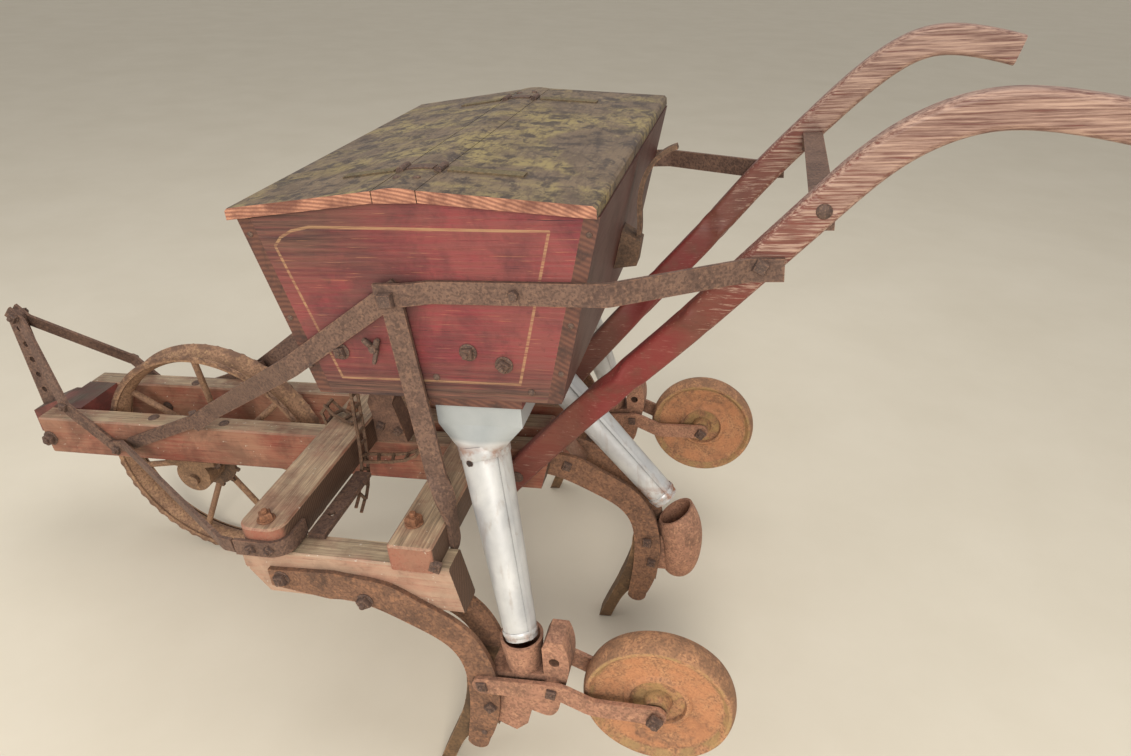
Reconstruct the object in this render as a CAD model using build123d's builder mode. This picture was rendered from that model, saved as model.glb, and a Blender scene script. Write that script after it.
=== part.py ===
"""Horse-drawn three-foot planter: wooden frame, spoked wheel, lidded hopper, three feet and plough handles.

Row frame: +X is the way it travels, +Y its left, +Z up, and the floor is Z = 0. The wooden deck stands
nose down, so pieces are drawn in deck coordinates: deck X runs forward along the beams, deck Z is square to
them, and deck Z = 0 is the top of the long beams. deck() and the three plane functions turn deck coordinates
into the row frame.
"""

from build123d import *
import os
from math import cos, hypot, pi, radians, sin, tan

os.makedirs("parts", exist_ok=True)

# Stance
nose_down = radians(5.9)
deck_height = 435.0
deck_forward = -155.75

# Allowances: how far cutters and pins run past, and the gap left in joints that touch
over = 2.0
joint_gap = 0.2
rest_gap = 0.3

# Long beams, all with their tops at deck Z = 0
beam_depth = 82.0
beam_edge = 3.0
rail_inner = 54.0
rail_width = 45.0
rail_rear = -90.0
rail_front = 988.0
rail_rake = 25.0
rail_nose_rake = 8.0
side_beam_offset = 386.0
side_beam_width = 48.0
side_beam_rear = -16.0
side_beam_front = 321.0
side_beam_rake = 14.0
nose_taper_length = 34.0
nose_taper_height = 50.0
centre_beam_rear = -64.0
centre_beam_rake = 62.0

# Cross beams, bolted on top of the long beams
cross_half_length = 421.0
front_cross_rear = 236.0
front_cross_width = 76.0
front_cross_height = 50.0
front_cross_corner = 26.0
rear_cross_rear = 0.0
rear_cross_width = 70.0
rear_cross_height = 43.0
rear_cross_corner = 7.0

# Hopper: boards 20 mm thick, closed by two hinged lid boards either side of a fixed ridge strip
board = 20.0
hopper_half_length = 329.0
hopper_bottom = 236.0
hopper_top = 494.0
hopper_front_low = 174.0
hopper_front_high = 236.0
hopper_rear_low = -182.0
hopper_rear_high = -249.0
seed_hole = 52.0
lid_half_length = 339.0
lid_front_edge = 244.0
lid_rear_edge = -247.0
lid_thick = 16.0
lid_eave = 494.4
ridge_front = 34.0
ridge_rear = -26.0
ridge_under = 515.0
ridge_crown = 3.5
lid_gap = 1.2
lid_hinge_rise = 0.6
lid_nose = 4.0
spout_inset = 96.0

# Flat iron straps
strap_width = 31.0
strap_thick = 6.0
strap_bend = 22.0
corner_bolt_x = 34.0
corner_bolt_z = 392.0
brace_bend_x = 216.0
brace_drop = 0.595
brace_rail_x = 612.0
brace_rail_z = 14.0
lug_strap_x = 807.0
lug_strap_z = -50.0
strap_fuse = 0.2
RAIL_STRAP = ((578.0, 32.0), (777.0, -44.0))
rail_strap_width = 25.0
iron_clear = 0.5
iron_flat = 34.0
iron_width = 23.0
iron_wrap_width = 27.0
iron_level = 17.0
iron_turn = 12.0
iron_hook = 22.0
brace_ease = 60.0
brace_flare = 4.0
stay_head_gap = 0.8
stay_lap = 6.0
stay_step = 40.0
stay_run = 168.0
stay_z = 396.0
stay_bend_x = -252.0
stay_end_x = -462.0

# Handles
handle_thick = 28.0
handle_top_y = 222.0
handle_depth = 46.0
handle_round = 8.0
HANDLE_SHANK = (
    (24.0, 114.0, -98.0),
    (-123.0, 150.0, 72.0),
    (-213.0, 171.0, 168.0),
    (-342.0, 202.0, 302.0),
    (-433.0, 222.0, 401.0),
    (-507.0, 222.0, 476.0),
)
HANDLE_GRIPS = {
    "left": ((-584.0, 545.0), (-682.0, 582.0), (-740.0, 580.0), (-832.0, 561.0)),
    "right": ((-584.0, 548.0), (-674.0, 598.0), (-746.0, 594.0), (-802.0, 579.0)),
}
RUNG_AT = (-505.0, 462.0)
rung_drop = 26.0
rung_thick = 4.0
rung_bend = 10.0

# Strut twist
strut_twist_x = 12.0
strut_twist_z = 106.0
strut_twist_low = 44.0
strut_foot_y = 345.0

# Front wheel
wheel_x = 661.0
wheel_radius = 243.0
wheel_half_width = 26.0
rim_hollow = 19.0
rim_thick = 5.5
spoke_count = 7
spoke_radius = 6.5
spoke_root = 8.0
rim_lip = 2.0
hub_radius = 29.0
hub_half_length = 41.0
hub_edge = 5.0
axle_radius = 11.0
axle_fit = 0.5
axle_half_length = 104.0
spoke_lean = 22.0
bearing_inset = 3.0
bearing_length = 62.0
bearing_half_flange = 55.0
bearing_wall = 17.0
bearing_flange_thick = 9.0
bearing_root = 14.0
sprocket_radius = 52.0
sprocket_teeth = 11
sprocket_thick = 7.0
sprocket_y = 34.0
SPROCKET_TOOTH = ((-2.0, -5.0), (8.0, -2.0), (8.0, 2.0), (-2.0, 5.0))

# Feet
foot_front = 278.0
FOOT_HEAD = (-29.0, -60.0)
foot_bar = 8.0
foot_fit = 0.2
foot_lag = 197.0
tip_x = 64.0
pin_radius = 6.5
pin_fit = 0.3
boot_half_width = 23.9
boot_front = -56.0
boot_lug_radius = 15.0
FOOT_PIN = (-44.0, -212.0)
BOOT_LUG = (-153.0, -207.0)
BAR_BACK = (
    (169.0, -24.0),
    (133.0, -28.0),
    (77.0, -38.0),
    (38.0, -60.0),
    (-8.0, -87.0),
    (-38.0, -116.0),
    (-54.0, -146.0),
    (-67.0, -205.0),
    (-66.0, -250.0),
    (-58.0, -294.0),
    (-37.0, -345.0),
)
BAR_TOE = (-19.0, -364.0)
BAR_FRONT = (
    (-1.0, -350.0),
    (-10.0, -304.0),
    (-17.0, -256.0),
    (-19.0, -210.0),
    (-15.0, -176.0),
    (0.0, -147.0),
    (24.0, -127.0),
    (62.0, -106.0),
    (108.0, -84.0),
    (182.0, -75.0),
)
SHOVEL_POINT = (
    (-14.0, -215.0),
    (-9.0, -250.0),
    (8.0, -304.0),
    (32.0, -360.0),
)
SHOVEL_BACK = (
    (30.0, -406.0),
    (7.0, -362.0),
    (-20.0, -330.0),
    (-46.0, -296.0),
)
shovel_top = -194.0
shovel_sole = 24.0
shovel_shoulder = -330.0
shovel_half_width = 19.0
shovel_round = 15.0
shovel_neck = 6.0
shovel_taper = 20.0
BOOT_BACK = (
    (-84.0, -318.0),
    (-104.0, -300.0),
    (-113.0, -268.0),
    (-127.0, -273.0),
    (-142.0, -275.0),
    (-155.0, -262.0),
    (-162.0, -238.0),
    (-173.0, -202.0),
    (-179.0, -142.0),
    (-173.0, -120.0),
    (-148.0, -120.0),
    (-141.0, -134.0),
    (-140.0, -186.0),
)
boot_nose = -304.0
boot_shoulder = -194.0
BOOT_EAR_HOLE = (-158.0, -160.0)
boot_ear_radius = 8.0
BOOT_THROAT = (
    (-124.0, -190.0),
    (-86.0, -190.0),
    (-78.0, -325.0),
    (-100.0, -325.0),
)
bowl_drop = 13.0
bowl_neck_top = -206.0
bowl_neck_foot = -284.0
bowl_neck_back = -80.0
BOWL_LEVELS = (
    ((-94.0, -163.0), 36.0, (0.52, 0.86)),
    ((-103.0, -210.0), 40.0, (0.1, 1)),
    ((-101.0, -262.0), 36.0, (-0.16, 1)),
    ((-93.0, -296.0), 26.0, (-0.3, 1)),
    ((-88.0, -306.0), 14.0, (-0.3, 1)),
)

# Boots and spouts
cup_x = -104.0
cup_z = -134.0
cup_radius = 33.0
cup_base_radius = 27.0
cup_height = 62.0
cup_wall = 4.5
tin = 1.2
seat_gap = 0.3
tube_top_radius = 37.0
tube_end_radius = 25.0
funnel_length = 124.0
funnel_width = 68.0
funnel_x = -60.0
funnel_skirt = 32.0
neck_z = 144.0
cleat = 12.0
cleat_margin = 4.0
cleat_under = hopper_bottom - cleat
TUBES = {
    "left": ((-50.0, 296.0), (-104.0, 386.0), -137.0),
    "centre": ((-44.0, 0.0), (-273.0, 6.0), -148.5),
    "right": ((-50.0, -296.0), (-104.0, -386.0), -137.0),
}

# Press wheels
press_x = -308.0
press_z = -228.0
press_radius = 114.0
press_half_width = 22.0
press_hub_radius = 17.0
press_hub_half = 27.0
press_axle_radius = 7.0
press_fit = 0.5
arm_depth = 31.0
arm_thick = 7.0
arm_bend = 40.0
axle_stub = 6.0
ARM_LINE = ((-166.0, -206.0), (-214.0, -229.0))
PRESS_FACE = (
    (22.0, 104.0),
    (15.0, 97.0),
    (10.0, 70.0),
    (10.0, 52.0),
    (14.0, 47.0),
    (14.0, 43.0),
    (8.0, 40.0),
    (8.0, 22.0),
)
press_shoulder = 109.0

# Hitch
hitch_x = 1053.0
hitch_width = 38.0
hitch_thick = 10.0
hitch_top = 196.0
hitch_hole = 6.5
hitch_pitch = 35.8
hitch_first_hole = 154.0
hitch_holes = 5
nose_front = 1078.0
nose_drop = 30.0
nose_rear = 922.0
nose_shoulder = 1002.0
nose_cheek = 8.0
hitch_head_round = 18.0
BRACE_KNEE = (905.0, 34.0)
brace_head_back = 4.0
brace_head_down = 14.0
brace_head_lap = 18.0
brace_head_flat = 16.0
hitch_brace_width = 25.0
lug_lap = 16.0

# Drive
feed_x = 168.0
feed_z = 185.0
feed_radius = 9.0
feed_half_length = 200.0
feed_sprocket_y = 172.0
feed_sprocket_radius = 36.0
feed_sprocket_teeth = 9
FEED_TOOTH = ((-2.0, -4.0), (4.0, -2.0), (4.0, 2.0), (-2.0, 4.0))
link_pitch = 24.0
link_width = 22.0
link_bar = 3.0
link_side = 5.0
tie_bar_x = 212.0
tie_bar_width = 28.0
tie_bar_thick = 8.0
tie_bar_inner = 206.0
tie_bar_outer = 372.0
TIE_BAR_HOLE = 320.0
STAND_OUTLINE = (
    (176.0, 0.3),
    (235.5, 0.3),
    (235.5, 54.0),
    (240.0, 80.0),
    (173.0, 235.7),
    (122.0, 235.7),
    (193.0, 80.0),
)
CHAIN_RUNS = (
    (
        (124.0, 172.0, 150.0),
        (124.0, 172.0, 186.0),
        (136.0, 172.0, 217.0),
        (168.0, 172.0, 229.0),
        (200.0, 172.0, 217.0),
        (212.0, 172.0, 185.0),
        (219.0, 173.0, 100.0),
        (223.0, 174.0, 20.0),
        (221.0, 186.0, -8.0),
        (216.0, 214.0, -30.0),
        (215.0, 240.0, -46.0),
    ),
    (
        (223.0, 174.0, 14.0),
        (190.0, 158.0, 5.0),
        (156.0, 148.0, 4.0),
        (128.0, 148.0, 20.0),
        (116.0, 156.0, 80.0),
        (124.0, 172.0, 150.0),
    ),
    (
        (256.0, 121.0, 53.9),
        (276.0, 112.0, 53.9),
        (298.0, 103.0, 56.0),
        (322.0, 93.0, 70.0),
        (336.0, 88.0, 54.0),
        (332.0, 86.0, 26.0),
        (328.0, 86.0, 5.0),
    ),
)
lever_thick = 7.0
lever_width = 15.5
lever_casting_width = 39.0
LEVER_LINE = (
    (-232.0, 330.0),
    (-243.0, 372.0),
    (-246.0, 426.0),
    (-266.0, 472.0),
    (-304.0, 497.0),
)
LEVER_CASTING = (
    (-201.0, 308.0),
    (-238.0, 313.0),
    (-246.0, 352.0),
    (-217.6, 372.0),
)

SIDES = (("left", 1), ("right", -1))
ACROSS = (0, 1, 0)
deck_x = Vector(cos(nose_down), 0, -sin(nose_down))
deck_z = Vector(sin(nose_down), 0, cos(nose_down))


def deck(x, y, z):
    """A point given in deck coordinates, in the row frame."""
    origin = Vector(deck_forward, 0, deck_height)
    return origin + deck_x * x + Vector(0, y, 0) + deck_z * z


def deck_side(y):
    """Plane seen from the left: local x is deck X, local y is deck Z, and its normal is -Y."""
    return Plane(origin=deck(0, y, 0), x_dir=deck_x, z_dir=(0, -1, 0))


def deck_top(z):
    """Plane seen from above: local x is deck X, local y is Y."""
    return Plane(origin=deck(0, 0, z), x_dir=deck_x, z_dir=deck_z)


def deck_cross(x):
    """Plane across the machine: local x is Y, local y is deck Z."""
    return Plane(origin=deck(x, 0, 0), x_dir=ACROSS, z_dir=deck_x)


def slanted(start, end):
    """Plane for a strap that leans inward: local x runs from start to end in side view, local y is Y."""
    run = deck(end[0], 0, end[1]) - deck(start[0], 0, start[1])
    return Plane(origin=deck(start[0], 0, start[1]), x_dir=run, z_dir=run.cross(Vector(ACROSS)))


def floor_under(x):
    """Deck Z of the floor below deck X."""
    return x * tan(nose_down) - deck_height / cos(nose_down)


def finish(piece, name):
    """Labels a finished piece and writes its STEP."""
    piece.part.label = name
    export_step(piece.part, f"parts/{name}.step")


along_deck = Axis(deck(0, 0, 0), deck_x)
wheel_z = (wheel_radius - deck_height + wheel_x * sin(nose_down)) / cos(nose_down)
rail_outer = rail_inner + rail_width
front_cross_front = front_cross_rear + front_cross_width

# Rails: the two long beams that carry the front wheel, with raked rear ends
for side, s in SIDES:
    with BuildPart() as rail:
        with BuildSketch(deck_side(s * (rail_inner + rail_width / 2))):
            with BuildLine():
                Polyline(
                    (rail_rear, 0),
                    (rail_front, 0),
                    (rail_front - rail_nose_rake, -beam_depth),
                    (rail_rear + rail_rake, -beam_depth),
                    close=True,
                )
            make_face()
        extrude(amount=rail_width / 2, both=True)
        chamfer(rail.edges().filter_by(along_deck), beam_edge)
    finish(rail, f"rail_{side}")

# Side beams: they carry the outer feet, tapered underneath at the front
for side, s in SIDES:
    with BuildPart() as side_beam:
        with BuildSketch(deck_side(s * side_beam_offset)):
            with BuildLine():
                Polyline(
                    (side_beam_rear, 0),
                    (side_beam_front, 0),
                    (side_beam_front, nose_taper_height - beam_depth),
                    (side_beam_front - nose_taper_length, -beam_depth),
                    (side_beam_rear - side_beam_rake, -beam_depth),
                    close=True,
                )
            make_face()
        extrude(amount=side_beam_width / 2, both=True)
        chamfer(side_beam.edges().filter_by(along_deck), beam_edge)
    finish(side_beam, f"side_beam_{side}")

# Centre beam: it carries the middle foot, its rear end cut back above
with BuildPart() as centre_beam:
    with BuildSketch(deck_side(0)):
        with BuildLine():
            Polyline(
                (centre_beam_rear, 0),
                (front_cross_front, 0),
                (front_cross_front, -beam_depth),
                (centre_beam_rear - centre_beam_rake, -beam_depth),
                close=True,
            )
        make_face()
    extrude(amount=side_beam_width / 2, both=True)
    chamfer(centre_beam.edges().filter_by(along_deck), beam_edge)
finish(centre_beam, "centre_beam")

# Cross beams: laid over the long beams, the front one with rounded ends for the corner irons
CROSS_BEAMS = (
    ("cross_beam_front", front_cross_rear, front_cross_width, front_cross_height, front_cross_corner),
    ("cross_beam_rear", rear_cross_rear, rear_cross_width, rear_cross_height, rear_cross_corner),
)
for name, rear, width, height, corner in CROSS_BEAMS:
    with BuildPart() as cross_beam:
        with BuildSketch(deck_top(0)):
            with Locations((rear + width / 2, 0)):
                RectangleRounded(width, 2 * cross_half_length, corner)
        extrude(amount=height)
        top_edges = cross_beam.faces().sort_by(Axis(deck(0, 0, 0), deck_z))[-1].edges()
        chamfer(top_edges, beam_edge)
    finish(cross_beam, name)

# Nose: the block between the rails, slotted for the hitch bar
with BuildPart() as nose_block:
    with BuildSketch(deck_side(0)):
        with BuildLine():
            Polyline(
                (nose_rear, 0),
                (nose_shoulder, 0),
                (nose_front, -nose_drop),
                (nose_front, -beam_depth),
                (nose_rear, -beam_depth),
                close=True,
            )
        make_face()
    extrude(amount=rail_inner, both=True)
    with BuildSketch(deck_top(-beam_depth)):
        with Locations((nose_front, rail_inner), (nose_front, -rail_inner)):
            Rectangle(2 * (nose_front - rail_front - over), 2 * (rail_inner - hitch_width / 2 - nose_cheek))
    extrude(amount=beam_depth, mode=Mode.SUBTRACT)
    with BuildSketch(deck_side(0)):
        with Locations((hitch_x, -beam_depth / 2)):
            Rectangle(hitch_width, beam_depth + over)
    extrude(amount=hitch_thick / 2, both=True, mode=Mode.SUBTRACT)
finish(nose_block, "nose_block")

# Hitch bar: an upright flat bar with a row of holes that set the height of the pull
with BuildPart() as hitch_bar:
    with BuildSketch(deck_side(0)):
        with Locations((hitch_x, (hitch_top - beam_depth) / 2)):
            Rectangle(hitch_width, hitch_top + beam_depth)
        fillet(vertices().group_by(Axis.Y)[-1], hitch_head_round)
        hole_row = [(hitch_x, hitch_first_hole - i * hitch_pitch) for i in range(hitch_holes)]
        with Locations(*hole_row):
            Circle(hitch_hole, mode=Mode.SUBTRACT)
    extrude(amount=hitch_thick / 2, both=True)
finish(hitch_bar, "hitch_bar")

# Hitch braces: flat bars from the head of the hitch bar down to the outer faces of the rails
brace_head = (hitch_x - brace_head_back, hitch_top - brace_head_down)
brace_toe = (lug_strap_x + lug_lap, lug_strap_z)
for side, s in SIDES:
    with BuildPart() as hitch_brace:
        head_y = s * (hitch_thick + strap_thick) / 2
        knee_y = s * (rail_outer + strap_thick / 2)
        with BuildSketch(slanted(brace_head, BRACE_KNEE)):
            run = hypot(BRACE_KNEE[0] - brace_head[0], BRACE_KNEE[1] - brace_head[1])
            with BuildLine():
                FilletPolyline(
                    (-brace_head_lap, head_y),
                    (brace_head_flat, head_y),
                    (run + over, knee_y),
                    radius=strap_bend,
                )
            trace(line_width=strap_thick)
        extrude(amount=hitch_brace_width / 2, both=True)
        with BuildSketch(deck_side(knee_y)):
            with BuildLine():
                Line(BRACE_KNEE, brace_toe)
            trace(line_width=hitch_brace_width)
            with Locations(BRACE_KNEE, brace_toe):
                Circle(hitch_brace_width / 2)
        extrude(amount=strap_thick / 2, both=True)
    finish(hitch_brace, f"hitch_brace_{side}")

# Corner irons: from the rails' outer faces back and out, then round the ends of the front cross beam
iron_lap = rail_outer + 1.5 * strap_thick + 2 * iron_clear
for side, s in SIDES:
    with BuildPart() as corner_iron:
        outside = cross_half_length + strap_thick / 2
        start = (lug_strap_x + lug_lap, lug_strap_z)
        stop = (front_cross_front + strap_thick + iron_turn, iron_level)
        run = hypot(stop[0] - start[0], stop[1] - start[1])
        with BuildSketch(slanted(start, stop)):
            with BuildLine():
                FilletPolyline(
                    (0, s * iron_lap),
                    (iron_flat, s * iron_lap),
                    (run - iron_turn, s * (outside - strap_thick)),
                    (run + iron_turn, s * outside),
                    radius=strap_bend,
                )
            trace(line_width=strap_thick)
        extrude(amount=iron_width / 2, both=True)
        with BuildSketch(deck_top(iron_level)):
            with BuildLine():
                FilletPolyline(
                    (front_cross_front + brace_flare, s * outside),
                    (front_cross_rear - strap_thick / 2, s * outside),
                    (front_cross_rear - strap_thick / 2, s * (side_beam_offset - iron_hook)),
                    radius=front_cross_corner + strap_thick / 2,
                )
            trace(line_width=strap_thick)
        extrude(amount=iron_wrap_width / 2, both=True)
    finish(corner_iron, f"corner_iron_{side}")

# Hopper: trapezoid box of boards. The sloping boards run over the ends of the end boards
front_lean = (hopper_front_high - hopper_front_low) / (hopper_top - hopper_bottom)
rear_lean = (hopper_rear_low - hopper_rear_high) / (hopper_top - hopper_bottom)
gable_front = (hopper_front_high - board, hopper_top - joint_gap)
gable_rear = (hopper_rear_high + board, hopper_top - joint_gap)
for side, s in SIDES:
    with BuildPart() as hopper_end:
        with BuildSketch(deck_side(s * (hopper_half_length - board / 2))):
            with BuildLine():
                Polyline(
                    (hopper_front_low - board, hopper_bottom),
                    gable_front,
                    (ridge_front - lid_gap, ridge_under),
                    (ridge_rear + lid_gap, ridge_under),
                    gable_rear,
                    (hopper_rear_low + board, hopper_bottom),
                    close=True,
                )
            make_face()
        extrude(amount=board / 2, both=True)
    finish(hopper_end, f"hopper_end_{side}")

SLOPING_BOARDS = (
    ("hopper_board_front", hopper_front_low, hopper_front_high, -board),
    ("hopper_board_rear", hopper_rear_low, hopper_rear_high, board),
)
for name, low, high, inward in SLOPING_BOARDS:
    with BuildPart() as sloping_board:
        with BuildSketch(deck_side(0)):
            with BuildLine():
                Polyline(
                    (low, hopper_bottom),
                    (high, hopper_top - joint_gap),
                    (high + inward, hopper_top - joint_gap),
                    (low + inward, hopper_bottom),
                    close=True,
                )
            make_face()
        extrude(amount=hopper_half_length, both=True)
    finish(sloping_board, name)

# Hopper floor, with a cleat under it and a seed hole over each spout
spout_y = side_beam_offset - spout_inset
spout_rows = (("left", spout_y), ("centre", 0), ("right", -spout_y))
floor_front = hopper_front_low - board
floor_rear = hopper_rear_low + board
with BuildPart() as hopper_floor:
    with BuildSketch(deck_side(0)):
        with BuildLine():
            Polyline(
                (floor_rear, hopper_bottom),
                (floor_front, hopper_bottom),
                (floor_front + board * front_lean, hopper_bottom + board),
                (floor_rear - board * rear_lean, hopper_bottom + board),
                close=True,
            )
        make_face()
    extrude(amount=hopper_half_length - board, both=True)
    with BuildSketch(deck_top(cleat_under)):
        with Locations(*[(funnel_x, y) for row, y in spout_rows]):
            Rectangle(funnel_length + 2 * cleat_margin, funnel_width + 2 * cleat_margin)
    extrude(amount=cleat)
    with BuildSketch(deck_top(cleat_under)):
        with Locations(*[(funnel_x, y) for row, y in spout_rows]):
            Circle(seed_hole / 2)
    extrude(amount=cleat + board, mode=Mode.SUBTRACT)
finish(hopper_floor, "hopper_floor")

# Lid: a fixed ridge strip with a hinged board either side of it
with BuildPart() as ridge_strip:
    with BuildSketch(deck_side(0)):
        with BuildLine():
            strip_foot = Polyline(
                (ridge_rear + lid_gap, ridge_under + lid_thick),
                (ridge_rear + lid_gap, ridge_under + joint_gap),
                (ridge_front - lid_gap, ridge_under + joint_gap),
                (ridge_front - lid_gap, ridge_under + lid_thick),
            )
            crown = ((ridge_rear + ridge_front) / 2, ridge_under + lid_thick + ridge_crown)
            ThreePointArc(strip_foot @ 1, crown, strip_foot @ 0)
        make_face()
    extrude(amount=lid_half_length, both=True)
finish(ridge_strip, "lid_ridge_strip")

LIDS = (("lid_front", ridge_front, lid_front_edge, 1), ("lid_rear", ridge_rear, lid_rear_edge, -1))
for name, hinge_edge, eave_edge, outward in LIDS:
    with BuildPart() as lid:
        with BuildSketch(deck_side(0)):
            with BuildLine():
                Polyline(
                    (hinge_edge, ridge_under + lid_hinge_rise),
                    (hinge_edge, ridge_under + lid_thick),
                    (eave_edge - outward * lid_nose, lid_eave + lid_thick),
                    (eave_edge, lid_eave + lid_thick - lid_nose),
                    (eave_edge, lid_eave),
                    close=True,
                )
            make_face()
        extrude(amount=lid_half_length, both=True)
    finish(lid, name)

# Straps on the hopper's ends: front brace, strut and stay meet at one bolt, one over the other.
# The brace ends on a short strap riveted along the rail
strap_layer_1 = hopper_half_length + strap_thick / 2 + joint_gap
strap_layer_2 = strap_layer_1 + strap_thick
strap_layer_3 = strap_layer_2 + strap_thick
corner_bolt = (corner_bolt_x, corner_bolt_z)
for side, s in SIDES:
    with BuildPart() as front_brace:
        bend_z = corner_bolt_z - brace_drop * (brace_bend_x - corner_bolt_x)
        stop = (brace_rail_x, brace_rail_z)
        bend_run = hypot(brace_bend_x - corner_bolt_x, bend_z - corner_bolt_z)
        run = hypot(stop[0] - corner_bolt_x, stop[1] - corner_bolt_z)
        rail_lap = rail_outer + 1.5 * strap_thick - strap_fuse
        with BuildSketch(slanted(corner_bolt, stop)):
            with BuildLine():
                FilletPolyline(
                    (-strap_width / 2, s * strap_layer_1),
                    (bend_run, s * strap_layer_1),
                    (run - brace_ease, s * (rail_lap + brace_flare)),
                    (run, s * rail_lap),
                    radius=brace_ease,
                )
            trace(line_width=strap_thick)
        extrude(amount=strap_width / 2, both=True)
        with BuildSketch(deck_side(s * (rail_outer + strap_thick / 2))):
            with BuildLine():
                Line(*RAIL_STRAP)
            trace(line_width=rail_strap_width)
        extrude(amount=strap_thick / 2, both=True)
    finish(front_brace, f"front_brace_{side}")

    with BuildPart() as strut:
        with BuildSketch(deck_side(s * strap_layer_2)):
            with BuildLine():
                Line((corner_bolt_x, corner_bolt_z + strap_width / 2), (strut_twist_x, strut_twist_z))
            trace(line_width=strap_width)
        extrude(amount=strap_thick / 2, both=True)
        twist_top = deck(strut_twist_x, s * strap_layer_2, strut_twist_z + strap_thick)
        twist_end = deck(-strap_thick / 2, s * strut_foot_y, strut_twist_low)
        with BuildSketch(Plane(origin=twist_top, x_dir=deck_x, z_dir=-deck_z)):
            Rectangle(strap_width, strap_thick)
        half_turn = (deck_x + Vector(0, s, 0)).normalized()
        with BuildSketch(Plane(origin=(twist_top + twist_end) / 2, x_dir=half_turn, z_dir=-deck_z)):
            Rectangle(strap_width, strap_thick)
        with BuildSketch(Plane(origin=twist_end, x_dir=(0, s, 0), z_dir=-deck_z)):
            Rectangle(strap_width, strap_thick)
        loft()
        with BuildSketch(deck_cross(-strap_thick / 2)):
            with Locations((s * strut_foot_y, strut_twist_low / 2)):
                Rectangle(strap_width, strut_twist_low)
            with Locations((s * strut_foot_y, 0)):
                Circle(strap_width / 2)
        extrude(amount=strap_thick / 2, both=True)
    finish(strut, f"strut_{side}")

    with BuildPart() as stay:
        stay_head_y = handle_top_y + handle_thick / 2 + strap_thick / 2 + stay_head_gap
        with BuildSketch(deck_top(stay_z)):
            with BuildLine():
                FilletPolyline(
                    (corner_bolt_x + strap_width / 2 + over, s * strap_layer_3),
                    (corner_bolt_x - strap_width / 2 - stay_lap, s * strap_layer_3),
                    (corner_bolt_x - strap_width / 2 - stay_step, s * strap_layer_1),
                    (stay_bend_x, s * strap_layer_1),
                    (stay_bend_x - stay_run, s * (stay_head_y + over)),
                    (stay_end_x, s * stay_head_y),
                    radius=strap_bend,
                )
            trace(line_width=strap_thick)
        extrude(amount=strap_width / 2, both=True)
    finish(stay, f"stay_{side}")

# Handles: bent ash, bolted outside the rails behind the rear cross beam and spreading to the grips
for side, s in SIDES:
    with BuildPart() as handle:
        with BuildLine() as handle_line:
            Spline(
                *[deck(x, s * y, z) for x, y, z in HANDLE_SHANK],
                *[deck(x, s * handle_top_y, z) for x, z in HANDLE_GRIPS[side]],
            )
        path = handle_line.edges()[0]
        with BuildSketch(Plane(origin=path @ 0, x_dir=ACROSS, z_dir=path % 0)):
            RectangleRounded(handle_thick, handle_depth, handle_round)
        sweep(path=path)
    finish(handle, f"handle_{side}")

# Rung: a flat strip between the handles, its ends turned down against their inner faces
with BuildPart() as rung:
    inside = handle_top_y - handle_thick / 2 - strap_thick / 2 - rest_gap
    with BuildSketch(Plane(origin=deck(RUNG_AT[0], 0, RUNG_AT[1]), x_dir=ACROSS, z_dir=deck_x)):
        with BuildLine():
            FilletPolyline(
                (-inside, -rung_drop),
                (-inside, rung_thick),
                (inside, rung_thick),
                (inside, -rung_drop),
                radius=rung_bend,
            )
        trace(line_width=rung_thick)
    extrude(amount=strap_width / 2, both=True)
finish(rung, "handle_rung")

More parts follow.
